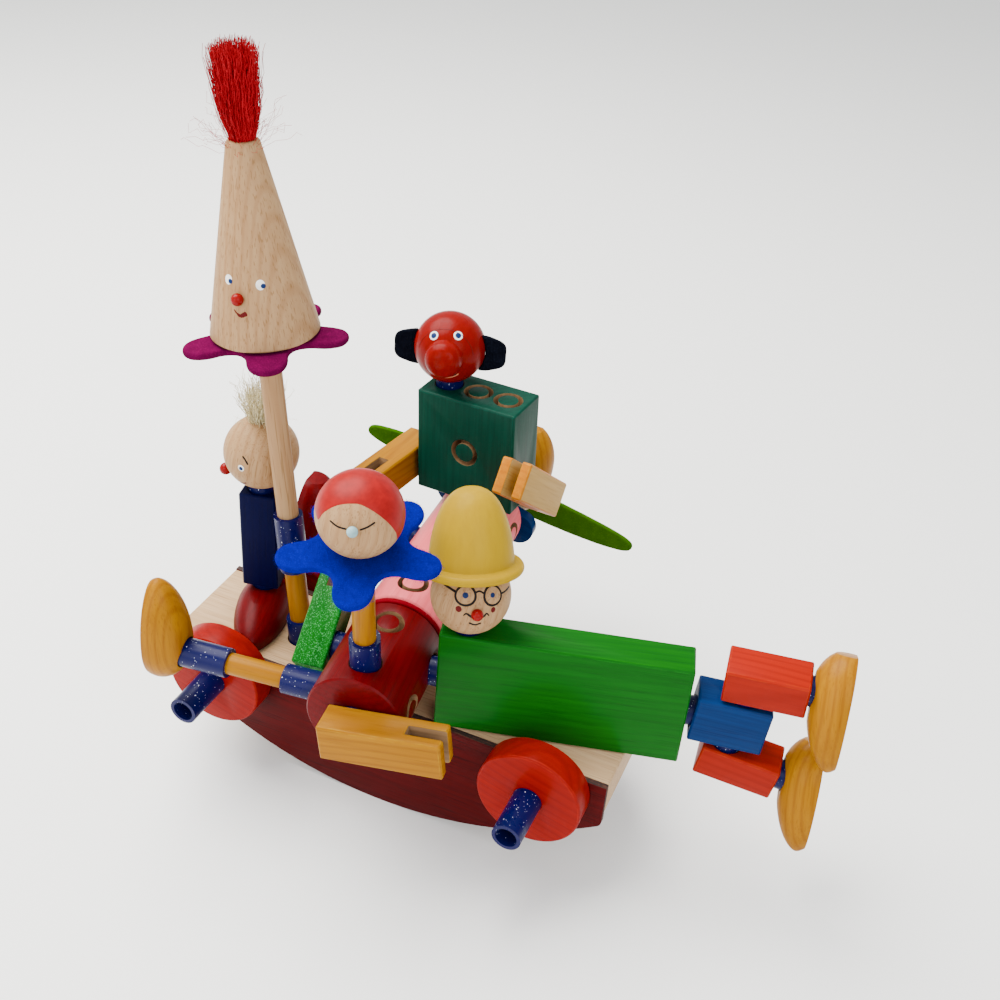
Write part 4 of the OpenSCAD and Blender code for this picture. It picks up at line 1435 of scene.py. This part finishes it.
def smooth_path(points: np.ndarray, steps: int, closed: bool = False) -> np.ndarray:
    """A Catmull-Rom line through points.

    Args:
        points: The points to pass through.
        steps: Steps between two points.
        closed: Whether the line closes.

    Returns:
        The finer line.
    """
    n = len(points)
    if n == 2 and not closed:
        return np.linspace(points[0], points[1], steps + 1)
    pick = (lambda i: points[i % n]) if closed else (lambda i: points[min(max(i, 0), n - 1)])
    line = []
    for i in range(n if closed else n - 1):
        p0, p1, p2, p3 = pick(i - 1), pick(i), pick(i + 1), pick(i + 2)
        for k in range(steps):
            t = k / steps
            line.append(
                0.5 * (2 * p1 + (p2 - p0) * t + (2 * p0 - 5 * p1 + 4 * p2 - p3) * t**2
                       + (3 * p1 - p0 - 3 * p2 + p3) * t**3)
            )
    if not closed:
        line.append(points[-1])
    return np.array(line)


@dataclass
class Brush:
    """Paints marks on one head as thin raised films of lacquer."""

    face: FaceMap
    body: str
    name: str
    film: float = 0.09 * MM
    # Clear of the softened wood under it, for lines and for dots.
    line_lift: float = 0.02 * MM
    dot_lift: float = 0.03 * MM

    def place(self, mark: str, rows: np.ndarray, look: Look, closed: tuple[bool, bool]) -> None:
        """Adds one mark's mesh to the scene."""
        mesh = grid_mesh(f"{self.name}_{mark}", rows, look, closed)
        add_piece(f"{self.name}_{mark}", mesh, self.body)

    def line(
        self, mark: str, places: Sequence[tuple[float, float]], width: float, look: Look,
        closed: bool = False, swell: Sequence[float] = (1.0,),
    ) -> None:
        """Paints a line.

        Args:
            mark: The mark's name.
            places: Where it passes.
            width: Its width in millimetres.
            look: Its paint.
            closed: Whether it is a ring.
            swell: Shares of the width along it, from start to end.
        """
        path = smooth_path(np.array([self.face.spot(*p) for p in places]), 10, closed)
        count = len(path)
        size = np.interp(np.linspace(0, 1, count), np.linspace(0, 1, len(swell)), swell)
        if closed:
            way = np.roll(path, -1, axis=0) - np.roll(path, 1, axis=0)
        else:
            way = np.gradient(path, axis=0)
            ends = np.minimum(np.arange(count), np.arange(count)[::-1]) / 2.0
            size = size * np.sqrt(np.clip(ends + 0.12, 0, 1))
        rows = []
        for p, w, s in zip(path, way, size):
            out = unit(self.face.onto(p, 1.0) - self.face.onto(p, 0.0))
            side = unit(np.cross(out, w)) * width * MM / 2 * s
            rows.append([
                self.face.onto(p + side * k, self.film * math.sqrt(1 - k * k) + self.line_lift)
                for k in (-1.0, -0.8, -0.35, 0.35, 0.8, 1.0)
            ])
        self.place(mark, np.array(rows), look, (closed, False))

    def dot(
        self, mark: str, spot: tuple[float, float], radius: float, look: Look,
        lift: float = 0.0, stretch: float = 1.0,
    ) -> None:
        """Paints a round or oval spot.

        Args:
            mark: The mark's name.
            spot: Where its middle is.
            radius: Its radius in millimetres.
            look: Its paint.
            lift: Height of the paint under it, in metres.
            stretch: How much taller than wide it is.
        """
        middle = self.face.spot(*spot)
        out = unit(self.face.onto(middle, 1.0) - self.face.onto(middle, 0.0))
        side = unit(np.cross((0.0, 0.0, 1.0), out))
        up = np.cross(out, side)
        rows = []
        for k in np.linspace(0, math.tau, 40, endpoint=False):
            way = side * math.cos(k) + up * math.sin(k) * stretch
            rows.append([
                self.face.onto(
                    middle + way * radius * MM * r,
                    lift + self.dot_lift + self.film * math.sqrt(1 - r * r),
                )
                for r in (0.02, 0.3, 0.6, 0.85, 0.96, 1.0)
            ])
        self.place(mark, np.array(rows), look, (True, False))


def ring_round(
    ball: BallFace, centre: tuple[float, float], angle: float, sweep: tuple[float, float],
    count: int,
) -> list[tuple[float, float]]:
    """Places on a circle round a place on a ball, as azimuth and elevation.

    Args:
        ball: The ball.
        centre: The circle's middle, as azimuth and elevation.
        angle: How far the circle lies from it, in degrees.
        sweep: Where on the circle the places start and stop, in degrees from the right.
        count: How many places.

    Returns:
        The places.
    """
    axis = unit(ball.spot(*centre) - ball.middle)
    right = unit(np.cross((0.0, 0.0, 1.0), axis))
    up = np.cross(axis, right)
    reach = math.radians(angle)
    places = []
    for k in np.radians(np.linspace(*sweep, count)):
        way = axis * math.cos(reach) + (right * math.cos(k) + up * math.sin(k)) * math.sin(reach)
        places.append(
            (math.degrees(math.atan2(way[0], -way[1])), math.degrees(math.asin(way[2])))
        )
    return places


def patch(
    name: str, ball: BallFace, centre: tuple[float, float],
    border: Sequence[tuple[float, float]], look: Look, body: str,
) -> None:
    """Paints a whole area of a ball inside a closed border.

    Args:
        name: The area's name.
        ball: The ball.
        centre: A place well inside the area.
        border: Places round it, in order.
        look: Its paint.
        body: The body that it moves with.
    """
    pole = unit(ball.spot(*centre) - ball.middle)
    rim = smooth_path(np.array([ball.spot(*b) for b in border]), 14, closed=True)
    rim = resample(rim, 220)
    rows = []
    for p in rim:
        way = unit(p - ball.middle)
        angle = math.acos(float(np.clip(way @ pole, -1, 1)))
        side = unit(way - pole * (way @ pole))
        rows.append([
            ball.middle
            + (pole * math.cos(angle * t) + side * math.sin(angle * t))
            * (ball.radius + Brush.line_lift + Brush.film * math.sqrt(1 - t**24))
            for t in np.concatenate([np.linspace(0.001, 0.96, 34), [0.975, 0.985, 0.993, 1.0]])
        ])
    mesh = grid_mesh(name, np.array(rows), look, (True, False))
    grain_coordinates(mesh, np.eye(3), 3)
    add_piece(name, mesh, body)


def ball_centre(node: str) -> np.ndarray:
    """The middle of a whole ball head, from its CAD node's box."""
    low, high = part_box(node)
    return np.array((low + high) / 2)


def head_middle(node: str) -> np.ndarray:
    """The middle of a ball head that has a cut or a snout, from its round surface.

    Args:
        node: The head's CAD node.

    Returns:
        The middle, found by least squares on the points near the ball's radius.
    """
    points = node_points(node)
    middle = (points.min(0) + points.max(0)) / 2
    for _ in range(6):
        near = points[abs(np.linalg.norm(points - middle, axis=1) - BALL_R) < 1.2 * MM]
        rows = np.hstack([2 * near, np.ones((len(near), 1))])
        middle = np.linalg.lstsq(rows, (near**2).sum(1), rcond=None)[0][:3]
    return middle


def flat_lie(places: np.ndarray) -> np.ndarray:
    """No rise anywhere: the felt lies flat."""
    return np.zeros(len(places))


_trees: dict[str, bpy.types.NodeTree] = {}


@dataclass(frozen=True)
class Strands:
    """One kind of strand in a tuft.

    Lengths are in metres: the longest strand, its radius and its largest wave at the tip.
    The spread is the largest lean in radians, and the flare how far the strands open out,
    as a multiple of the root.
    """

    label: str
    count: int
    length: float
    radius: float
    spread: float
    flare: float
    wave: float
    seed: int


@dataclass
class SubAssembly:
    """A group of pieces that are built and dressed together."""

    parts: tuple[Part, ...] = ()
    fibre_length: float = 1.1 * MM
    fibre_r: float = 0.03 * MM
    fibre_lean: float = 1.25
    tuft_root_r: float = 2.2 * MM

    def build(self) -> None:
        """Makes the wooden and plastic pieces."""
        for part in self.parts:
            soften_piece(part)

    def dress(self) -> None:
        """Adds the paint, felt and hair, where the group has them."""

    def lay_felt(
        self, node: str, look: Look, cut: FeltCut, name: str,
        wave: Callable[[np.ndarray], np.ndarray], rests_on: str, fibres: int = 4200,
        held: str = "laid",
    ) -> None:
        """Args:
            node: The CAD node that it stands for.
            look: Its felt.
            cut: Its shape.
            name: The piece's name.
            wave: Its bends, as the rise in metres at flat places.
            rests_on: The piece that it lies on or is held by; not used.
            fibres: How many loose fibres stand out of it.
            held: How it is held; not used.
        """
        body = body_of(node)
        mesh = cut.mesh(name, look, wave, seed=len(name))
        width, length, area = cut.flat_size()
        # Both faces and the edge together are about 2.2 times the flat area.
        fuzz = grown(
            mesh.copy(), _trees["fibres"],
            {"Density": fibres / (2.2 * area), "Fibre length": self.fibre_length,
             "Fibre radius": self.fibre_r, "Lean": self.fibre_lean, "Seed": 11 + len(name),
             "Finish": look.value.material()},
            name + "_fibres",
        )
        piece = add_piece(name, mesh, body, (node,))
        loose = add_piece(name + "_fibres", fuzz, body)

    def grow_tuft(self, node: str, look: Look, kinds: Sequence[Strands]) -> None:
        """Replaces a tuft's plain solid by strands of fibre.

        Args:
            node: The CAD node.
            look: The fibre.
            kinds: The strands, the main ones first and strays after them.
        """
        points = node_points(node)
        axis = upward_axis(points)
        low = points[(points @ axis) < (points @ axis).min() + 0.5 * MM]
        side = unit(np.cross(axis, (0.0, 1.0, 0.0)))
        turn = Matrix((side, np.cross(axis, side), axis)).transposed().to_4x4()
        stand = Matrix.Translation(Vector(low.mean(0))) @ turn
        for place, kind in enumerate(kinds):
            name = f"{node}_{kind.label}"
            disc = bmesh.new()
            bmesh.ops.create_circle(disc, cap_ends=True, segments=24, radius=self.tuft_root_r)
            base = bpy.data.meshes.new(name + "_root")
            disc.to_mesh(base)
            disc.free()
            mesh = grown(
                base, _trees["tuft"],
                {"Density": kind.count / (math.pi * self.tuft_root_r**2),
                 "Strand length": kind.length, "Strand radius": kind.radius,
                 "Spread": kind.spread, "Flare": kind.flare, "Wave": kind.wave,
                 "Seed": kind.seed, "Finish": look.value.material()},
                name,
            )
            mesh.transform(stand)
            add_piece(name, mesh, body_of(node), () if place else (node,))


@dataclass
class Rocker(SubAssembly):
    """The plank deck, its two curved side panels and the four axle tubes."""

    parts: tuple[Part, ...] = (
        Part("deck", Look.PLANK, Cut.SAWN),
        Part("axle_tubes", Look.TUBE, Cut.PLAIN, None),
    )
    panels: tuple[Part, ...] = (
        Part("front_rocker_panel", Look.PANEL, Cut.SAWN, Look.CHAR, 0.15 * MM),
        Part("back_rocker_panel", Look.PANEL, Cut.SAWN, Look.CHAR, 0.15 * MM),
    )

    def dress(self) -> None:
        """Adds the panels with their scorched edges."""
        for panel in self.panels:
            scorch_panel(panel)


@dataclass
class Wheels(SubAssembly):
    """Four turned wheels: orange-red in front, dark red behind."""

    parts: tuple[Part, ...] = (
        Part("wheel_front_left", Look.WHEEL, Cut.WHEEL),
        Part("wheel_front_right", Look.WHEEL, Cut.WHEEL),
        Part("wheel_back_left", Look.RED_WOOD, Cut.WHEEL),
        Part("wheel_back_right", Look.RED_WOOD, Cut.WHEEL),
    )


@dataclass
class BoyFigure(SubAssembly):
    """The small square-bodied figure with the red ball nose and the blond tuft."""

    parts: tuple[Part, ...] = (
        Part("boy_shoe", Look.RED_WOOD, Cut.TURNED),
        Part("boy_body", Look.NAVY, Cut.SAWN),
        Part("boy_tubes", Look.TUBE, Cut.PLAIN, None),
        Part("boy_head", Look.BEECH, Cut.BALL),
        Part("boy_nose", Look.RED_PAINT, Cut.PLAIN, None),
    )
    tuft: tuple[Strands, ...] = (
        Strands("strands", 380, 27 * MM, 0.1 * MM, 0.42, 2.0, 8 * MM, 5),
        Strands("stray_fibres", 30, 16.74 * MM, 0.07 * MM, 1.25, 2.0, 16 * MM, 9),
    )
    eye_r: float = 1.6

    def dress(self) -> None:
        """Paints the face and grows the tuft."""
        brush = Brush(BallFace(ball_centre("boy_head")), body_of("boy_head"), "boy")
        for side, turn in (("right", 0.5), ("left", -116.5)):
            brush.dot(f"eye_white_{side}", (turn, 2.0), self.eye_r, Look.WHITE)
            brush.dot(f"eye_blue_{side}", (turn, 1.6), self.eye_r * 0.62, Look.BLUE_INK, 0.1 * MM)
        brush.line("brow_right", [(1.5, 22), (6.5, 18), (12.0, 10.5)], 0.9, Look.INK)
        brush.line("brow_left", [(-117.5, 22), (-122.5, 18), (-128, 10.5)], 0.9, Look.INK)
        brush.line("mouth", [(-11, -33.5), (-4, -34.5), (4, -28)], 0.8, Look.CHERRY)
        self.grow_tuft("boy_hair", Look.BLOND_HAIR, self.tuft)


@dataclass
class PoleFigure(SubAssembly):
    """The tall figure: two dowels, blue tubes, magenta collar, cone head and red tuft."""

    parts: tuple[Part, ...] = (
        Part("pole_tubes", Look.TUBE, Cut.PLAIN, None),
        Part("pole_lower_dowel", Look.YELLOW, Cut.TURNED, None),
        Part("pole_upper_dowel", Look.BEECH, Cut.TURNED, None),
        Part("cone_head", Look.BEECH, Cut.TURNED, None),
        Part("cone_nose", Look.RED_PAINT, Cut.PLAIN, None),
    )
    cone_base_r: float = 23.2 * MM
    cone_top_r: float = 6.8 * MM
    cone_h: float = 81 * MM
    tuft: tuple[Strands, ...] = (
        Strands("strands", 2600, 43 * MM, 0.1 * MM, 0.13, 2.5, 7 * MM, 5),
        Strands("stray_fibres", 90, 26.66 * MM, 0.07 * MM, 1.25, 2.5, 14 * MM, 9),
    )
    eye_r: float = 1.85
    collar_r: float = 36 * MM
    collar_sag: float = 0.9 * MM
    collar_wave: float = 0.5 * MM

    def collar_rise(self, places: np.ndarray) -> np.ndarray:
        """The collar's lobes sag a little, two of them more.

        Args:
            places: Flat places on the collar, one row each.

        Returns:
            The rise at each place, in metres.
        """
        far = (np.linalg.norm(places, axis=1) / self.collar_r) ** 2
        turn = np.arctan2(places[:, 1], places[:, 0])
        return (self.collar_wave * np.sin(turn * 2 + 1.0) - self.collar_sag) * far

    def dress(self) -> None:
        """Paints the face, lays the collar and grows the tuft."""
        dowel, cone = node_points("pole_upper_dowel"), node_points("cone_head")
        axis, middle = upward_axis(dowel), dowel.mean(0)
        foot = middle + axis * float(((cone - middle) @ axis).min())
        face = ConeFace(
            foot, axis, self.cone_base_r, (self.cone_base_r - self.cone_top_r) / self.cone_h
        )
        brush = Brush(face, body_of("cone_head"), "cone")
        for side, turn, up, shift in (("left", -9.5, 29.0, 3.4), ("right", 35.2, 27.6, 3.6)):
            brush.dot(f"eye_white_{side}", (turn, up * MM), self.eye_r, Look.WHITE, 0.0, 1.15)
            brush.dot(
                f"eye_blue_{side}", (turn + shift, (up - 0.5) * MM), self.eye_r * 0.55,
                Look.BLUE_INK, 0.1 * MM,
            )
        brush.line(
            "mouth", [(-0.7, 17.6 * MM), (4, 15.9 * MM), (9, 15.3 * MM), (15.5, 16.6 * MM)],
            3.0, Look.CHERRY, swell=(0.25, 0.4, 0.7, 1.0, 0.9),
        )
        cut = read_felt("magenta_collar", 300, 6)
        self.lay_felt(
            "magenta_collar", Look.MAGENTA, cut, "magenta_felt_collar", self.collar_rise,
            "pole_upper_dowel_piece",
        )
        self.grow_tuft("cone_hair", Look.RED_HAIR, self.tuft)


@dataclass
class DrumFigure(SubAssembly):
    """The drum-bodied figure: blue collar, capped head with closed eyes, two arms and a leg."""

    parts: tuple[Part, ...] = (
        Part("drum", Look.RED_WOOD, Cut.TURNED),
        Part("drum_tubes", Look.TUBE, Cut.PLAIN, None),
        Part("neck_dowel", Look.YELLOW, Cut.TURNED, None),
        Part("cap_head", Look.BEECH, Cut.BALL, None),
        Part("cap_head_nose", Look.PALE_BLUE, Cut.PLAIN, None),
        Part("left_leg_dowel", Look.YELLOW, Cut.TURNED, None),
        Part("left_leg_tube", Look.TUBE, Cut.PLAIN, None),
        Part("left_shoe", Look.YELLOW, Cut.TURNED),
        Part("front_arm", Look.YELLOW, Cut.SAWN),
        Part("green_arm", Look.SPARKLE, Cut.SAWN),
    )
    lash_width: float = 0.75
    collar_r: float = 36 * MM
    collar_wave: float = 0.8 * MM
    cap_middle: tuple[float, float] = (200, 62)
    cap_border: tuple[tuple[float, float], ...] = (
        (-36, 7.5), (-28, 22), (-15, 36), (-1.8, 43), (14, 46.5), (30.3, 45.9), (52, 34),
        (68, 15.8), (80, -4), (89, -20), (105, -24), (140, -26), (180, -20), (-140, -8),
        (-100, 2), (-66, 8), (-48, 9),
    )

    def collar_rise(self, places: np.ndarray) -> np.ndarray:
        """The collar's lobes bend up and down in turn.

        Args:
            places: Flat places on the collar, one row each.

        Returns:
            The rise at each place, in metres.
        """
        far = (np.linalg.norm(places, axis=1) / self.collar_r) ** 2
        return self.collar_wave * np.sin(np.arctan2(places[:, 1], places[:, 0]) * 3) * far

    def dress(self) -> None:
        """Paints the cap and the closed eyes, and lays the collar and the disc."""
        ball = BallFace(head_middle("cap_head"))
        patch(
            "cap_head_red_cap", ball, self.cap_middle, self.cap_border, Look.CAP_RED,
            body_of("cap_head"),
        )
        brush = Brush(ball, body_of("cap_head"), "cap_head")
        brush.line("lid_left", [(-14, 18.0), (-1, 14.6), (11.5, 14.2)], self.lash_width, Look.INK)
        brush.line("lid_right", [(28.0, 14.6), (38, 18), (49, 22.8)], self.lash_width, Look.INK)
        cut = read_felt("blue_collar", 300, 6)
        self.lay_felt(
            "blue_collar", Look.BLUE_FELT, cut, "blue_felt_collar", self.collar_rise,
            "neck_dowel_piece",
        )
        disc = read_felt("crimson_disc", 240, 1)
        self.lay_felt(
            "crimson_disc", Look.CRIMSON, disc, "crimson_felt_disc", flat_lie, "drum_piece",
            fibres=2500,
        )


@dataclass
class BackLeg(SubAssembly):
    """The long pink cylinder, the second leg, the round-ended bar and the felt leaf."""

    parts: tuple[Part, ...] = (
        Part("pink_cylinder", Look.PINK, Cut.TURNED),
        Part("pink_tubes", Look.TUBE, Cut.PLAIN, None),
        Part("back_leg_dowel", Look.YELLOW, Cut.TURNED, None),
        Part("back_leg_tube", Look.TUBE, Cut.PLAIN, None),
        Part("dark_red_shoe", Look.RED_WOOD, Cut.TURNED),
        Part("dark_blue_bar", Look.BLUE_WOOD, Cut.SAWN),
    )
    leaf_bow: float = 3.0 * MM

    def dress(self) -> None:
        """Lays the leaf, its two ends bowed to opposite sides."""
        cut = read_felt("leaf_felt", 420, 2)
        half = float(np.abs(cut.outline).max())
        self.lay_felt(
            "leaf_felt", Look.LEAF, cut, "olive_felt_leaf",
            lambda p: self.leaf_bow * (np.linalg.norm(p, axis=1) / half) ** 2 * np.sign(p[:, 0]),
            "pink_tubes_piece",
        )


@dataclass
class LyingFigure(SubAssembly):
    """The lying figure: long green block, hatted head, blue hip, orange legs and shoes."""

    parts: tuple[Part, ...] = (
        Part("green_block", Look.GREEN, Cut.SAWN),
        Part("green_block_tubes", Look.TUBE, Cut.PLAIN, None),
        Part("hat_head", Look.BEECH, Cut.BALL),
        Part("hat", Look.HAT, Cut.TURNED, None),
        Part("hat_head_nose", Look.RED_PAINT, Cut.PLAIN, None),
        Part("hip_block", Look.BLUE_WOOD, Cut.SAWN),
        Part("hip_tubes", Look.TUBE, Cut.PLAIN, None),
        Part("upper_leg", Look.ORANGE, Cut.SAWN),
        Part("lower_leg", Look.ORANGE, Cut.SAWN),
        Part("upper_leg_tube", Look.TUBE, Cut.PLAIN, None),
        Part("lower_leg_tube", Look.TUBE, Cut.PLAIN, None),
        Part("upper_shoe", Look.YELLOW, Cut.TURNED),
        Part("lower_shoe", Look.YELLOW, Cut.TURNED),
    )
    # The lenses' radius on the ball in degrees, and their rims' width in millimetres.
    lens_r: float = 14.0
    rim_width: float = 1.0

    def dress(self) -> None:
        """Paints glasses, eyes, cheeks, moustache and mouth."""
        brush = Brush(BallFace(ball_centre("hat_head")), body_of("hat_head"), "hat_head")
        for side, turn, up in (("left", 13.0, 35.0), ("right", 61.0, 31.5)):
            wide = self.lens_r / math.cos(math.radians(up))
            ring = [
                (turn + wide * math.cos(a), up + self.lens_r * math.sin(a))
                for a in np.linspace(0, math.tau, 14, endpoint=False)
            ]
            brush.line(f"lens_{side}", ring, self.rim_width, Look.INK, closed=True)
        brush.dot("eye_left", (13.0, 35.0), 1.3, Look.BLUE_INK)
        brush.dot("eye_right", (60.0, 32.0), 1.1, Look.BLUE_INK)
        brush.line("bridge", [(29, 39), (37, 41.5), (45, 37.5)], 0.8, Look.INK)
        brush.line("temple_left", [(-4.5, 36), (-18, 37), (-34, 36)], 1.1, Look.INK,
                   swell=(1.0, 0.8))
        brush.line("temple_right", [(77, 28), (88, 26), (105, 23)], 0.8, Look.INK)
        brush.dot("cheek_left", (6.0, 14.0), 1.4, Look.CHERRY)
        brush.dot("cheek_right", (57.0, 11.0), 1.1, Look.CHERRY, 0.0, 1.2)
        brush.line("moustache_left", [(33, 1), (26, 4), (18, 9), (13.5, 5)], 1.1, Look.INK,
                   swell=(1.0, 1.0, 0.8, 0.35))
        brush.line("moustache_right", [(34, 1), (42, 4), (46.5, 8), (50.5, 3)], 1.0, Look.INK,
                   swell=(1.0, 1.0, 0.8, 0.35))
        brush.line("mouth", [(22, -6), (31, -10), (39.5, -7)], 0.95, Look.INK)


@dataclass
class SittingFigure(SubAssembly):
    """The sitting figure: dark green block, red ball head with felt ears, arms and back shoe."""

    parts: tuple[Part, ...] = (
        Part("tail_block", Look.DARK_GREEN, Cut.SAWN),
        Part("tail_block_tubes", Look.TUBE, Cut.PLAIN, None),
        Part("ear_head", Look.RED_BALL, Cut.BALL, None),
        Part("left_hand_arm", Look.YELLOW, Cut.SAWN),
        Part("back_shoe", Look.YELLOW, Cut.TURNED),
    )
    pale_arm: Part = Part("right_hand_arm", Look.AMBER, Cut.SAWN, Look.PALE)
    eye_r: float = 2.25
    snout: tuple[float, float] = (14.0, 5.0)
    mask_angle: float = 50.0
    ear_wave: float = 0.3 * MM
    ear_corners: float = 3.2

    def ear_rise(self, places: np.ndarray) -> np.ndarray:
        """A slight wave across each ear, from flat places to the rise in metres."""
        return self.ear_wave * np.sin(places[:, 0] / (4 * MM))

    def dress(self) -> None:
        """Paints the eyes and the mouth, paints the shade of the groove at the face's edge and
        lays the ears.
        """
        bare_sided(self.pale_arm)
        ball = BallFace(head_middle("ear_head"))
        brush = Brush(ball, body_of("ear_head"), "ear_head")
        for side, turn, up in (("left", -12.5, 39.3), ("right", 40.5, 45.0)):
            brush.dot(f"eye_white_{side}", (turn, up), self.eye_r, Look.WHITE)
            brush.dot(f"eye_blue_{side}", (turn, up), self.eye_r * 0.62, Look.BLUE_INK, 0.1 * MM)
        # The face's edge is a scored groove whose shade is painted as a thin dark line.
        for mark, angle, sweep, count, width, paint in (
            ("mask_groove_shade", self.mask_angle, (8, 172), 20, 0.4, Look.LATHE_GROOVE_SHADE),
            ("mouth_dark", 33.5, (230, 310), 12, 0.8, Look.INK),
            ("mouth_pale", 36.5, (224, 316), 12, 0.6, Look.SCORE),
        ):
            brush.line(mark, ring_round(ball, self.snout, angle, sweep, count), width, paint)
        for part, side in enumerate(("left", "right")):
            cut = read_felt("felt_ears", 200, 2, part)
            cut.square_off(self.ear_corners)
            self.lay_felt(
                "felt_ears", Look.BLACK, cut, f"black_felt_ear_{side}", self.ear_rise,
                "ear_head_piece", fibres=2200, held="stretched",
            )


@dataclass(frozen=True)
class Softbox:
    """A round soft light: its place, its width in metres, its power in watts and its tint."""

    name: str
    place: tuple[float, float, float]
    width: float
    power: float
    tint: str


@dataclass
class Studio:
    """The pale sweep, the soft lights and the camera at the photograph's place."""

    floor_z: float = -44.4 * MM
    half_floor: float = 4.0
    room: str = "EFF1F2"
    room_light: float = 1.2
    aim: tuple[float, float, float] = (0.03, 0.0, 0.05)
    lamps: tuple[Softbox, ...] = (
        Softbox("key_softbox", (-0.55, 0.10, 1.15), 1.3, 58.0, "FFFDF8"),
        Softbox("fill_softbox", (0.85, -0.75, 0.75), 1.0, 9.0, "F6F9FF"),
        Softbox("front_softbox", (-0.30, -1.10, 0.55), 0.9, 7.5, "FFFFFF"),
    )
    camera_at: tuple[float, float, float] = (0.1965, -0.4153, 0.4336)
    heading: float = -0.3598
    pitch: float = 0.6003
    roll: float = 0.0893
    lens: float = 45.82
    sensor: float = 36.0

    def build(self) -> None:
        """Lays the floor, lights the room and hangs the lights."""
        mesh = bpy.data.meshes.new("paper_sweep")
        corners = [(-1, -1), (1, -1), (1, 1), (-1, 1)]
        mesh.from_pydata(
            [(x * self.half_floor, y * self.half_floor, self.floor_z) for x, y in corners],
            [], [(0, 1, 2, 3)],
        )
        mesh.materials.append(Look.FLOOR.value.material())
        linked("paper_sweep", mesh)
        world = bpy.data.worlds.new("pale_room")
        world.use_nodes = True
        back = world.node_tree.nodes["Background"]
        back.inputs["Color"].default_value = linear(self.room)
        back.inputs["Strength"].default_value = self.room_light
        bpy.context.scene.world = world
        for box in self.lamps:
            lamp = bpy.data.lights.new(box.name, "AREA")
            lamp.shape, lamp.size, lamp.energy = "DISK", box.width, box.power
            lamp.color = linear(box.tint)[:3]
            light = linked(box.name, lamp)
            light.location = box.place
            way = Vector(self.aim) - Vector(box.place)
            light.rotation_euler = way.to_track_quat("-Z", "Y").to_euler()

    def shoot(self) -> None:
        """Sets the camera from its heading, downward pitch and roll, in radians."""
        sin_h, cos_h = math.sin(self.heading), math.cos(self.heading)
        sin_p, cos_p = math.sin(self.pitch), math.cos(self.pitch)
        ahead = Vector((sin_h * cos_p, cos_h * cos_p, -sin_p))
        side = Vector((cos_h, -sin_h, 0))
        top = Vector((sin_h * sin_p, cos_h * sin_p, cos_p))
        right = side * math.cos(self.roll) + top * math.sin(self.roll)
        up = top * math.cos(self.roll) - side * math.sin(self.roll)
        turn = Matrix((right, up, -ahead)).transposed().to_4x4()
        data = bpy.data.cameras.new("photo_camera")
        data.lens, data.sensor_width = self.lens, self.sensor
        camera = linked("photo_camera", data)
        camera.matrix_world = Matrix.Translation(self.camera_at) @ turn
        bpy.context.scene.camera = camera


def main() -> None:
    """Builds every sub-assembly, then the studio, and reports each piece."""
    logging.basicConfig(level=logging.INFO, format="%(name)s: %(message)s")
    _trees["fibres"], _trees["tuft"] = fibre_tree(), tuft_tree()
    for group in (
        Rocker(), Wheels(), BoyFigure(), PoleFigure(), DrumFigure(), BackLeg(),
        LyingFigure(), SittingFigure(),
    ):
        log.info("building %s", type(group).__name__)
        group.build()
        group.dress()
    studio = Studio()
    studio.build()
    studio.shoot()


if __name__ == "__main__":
    main()
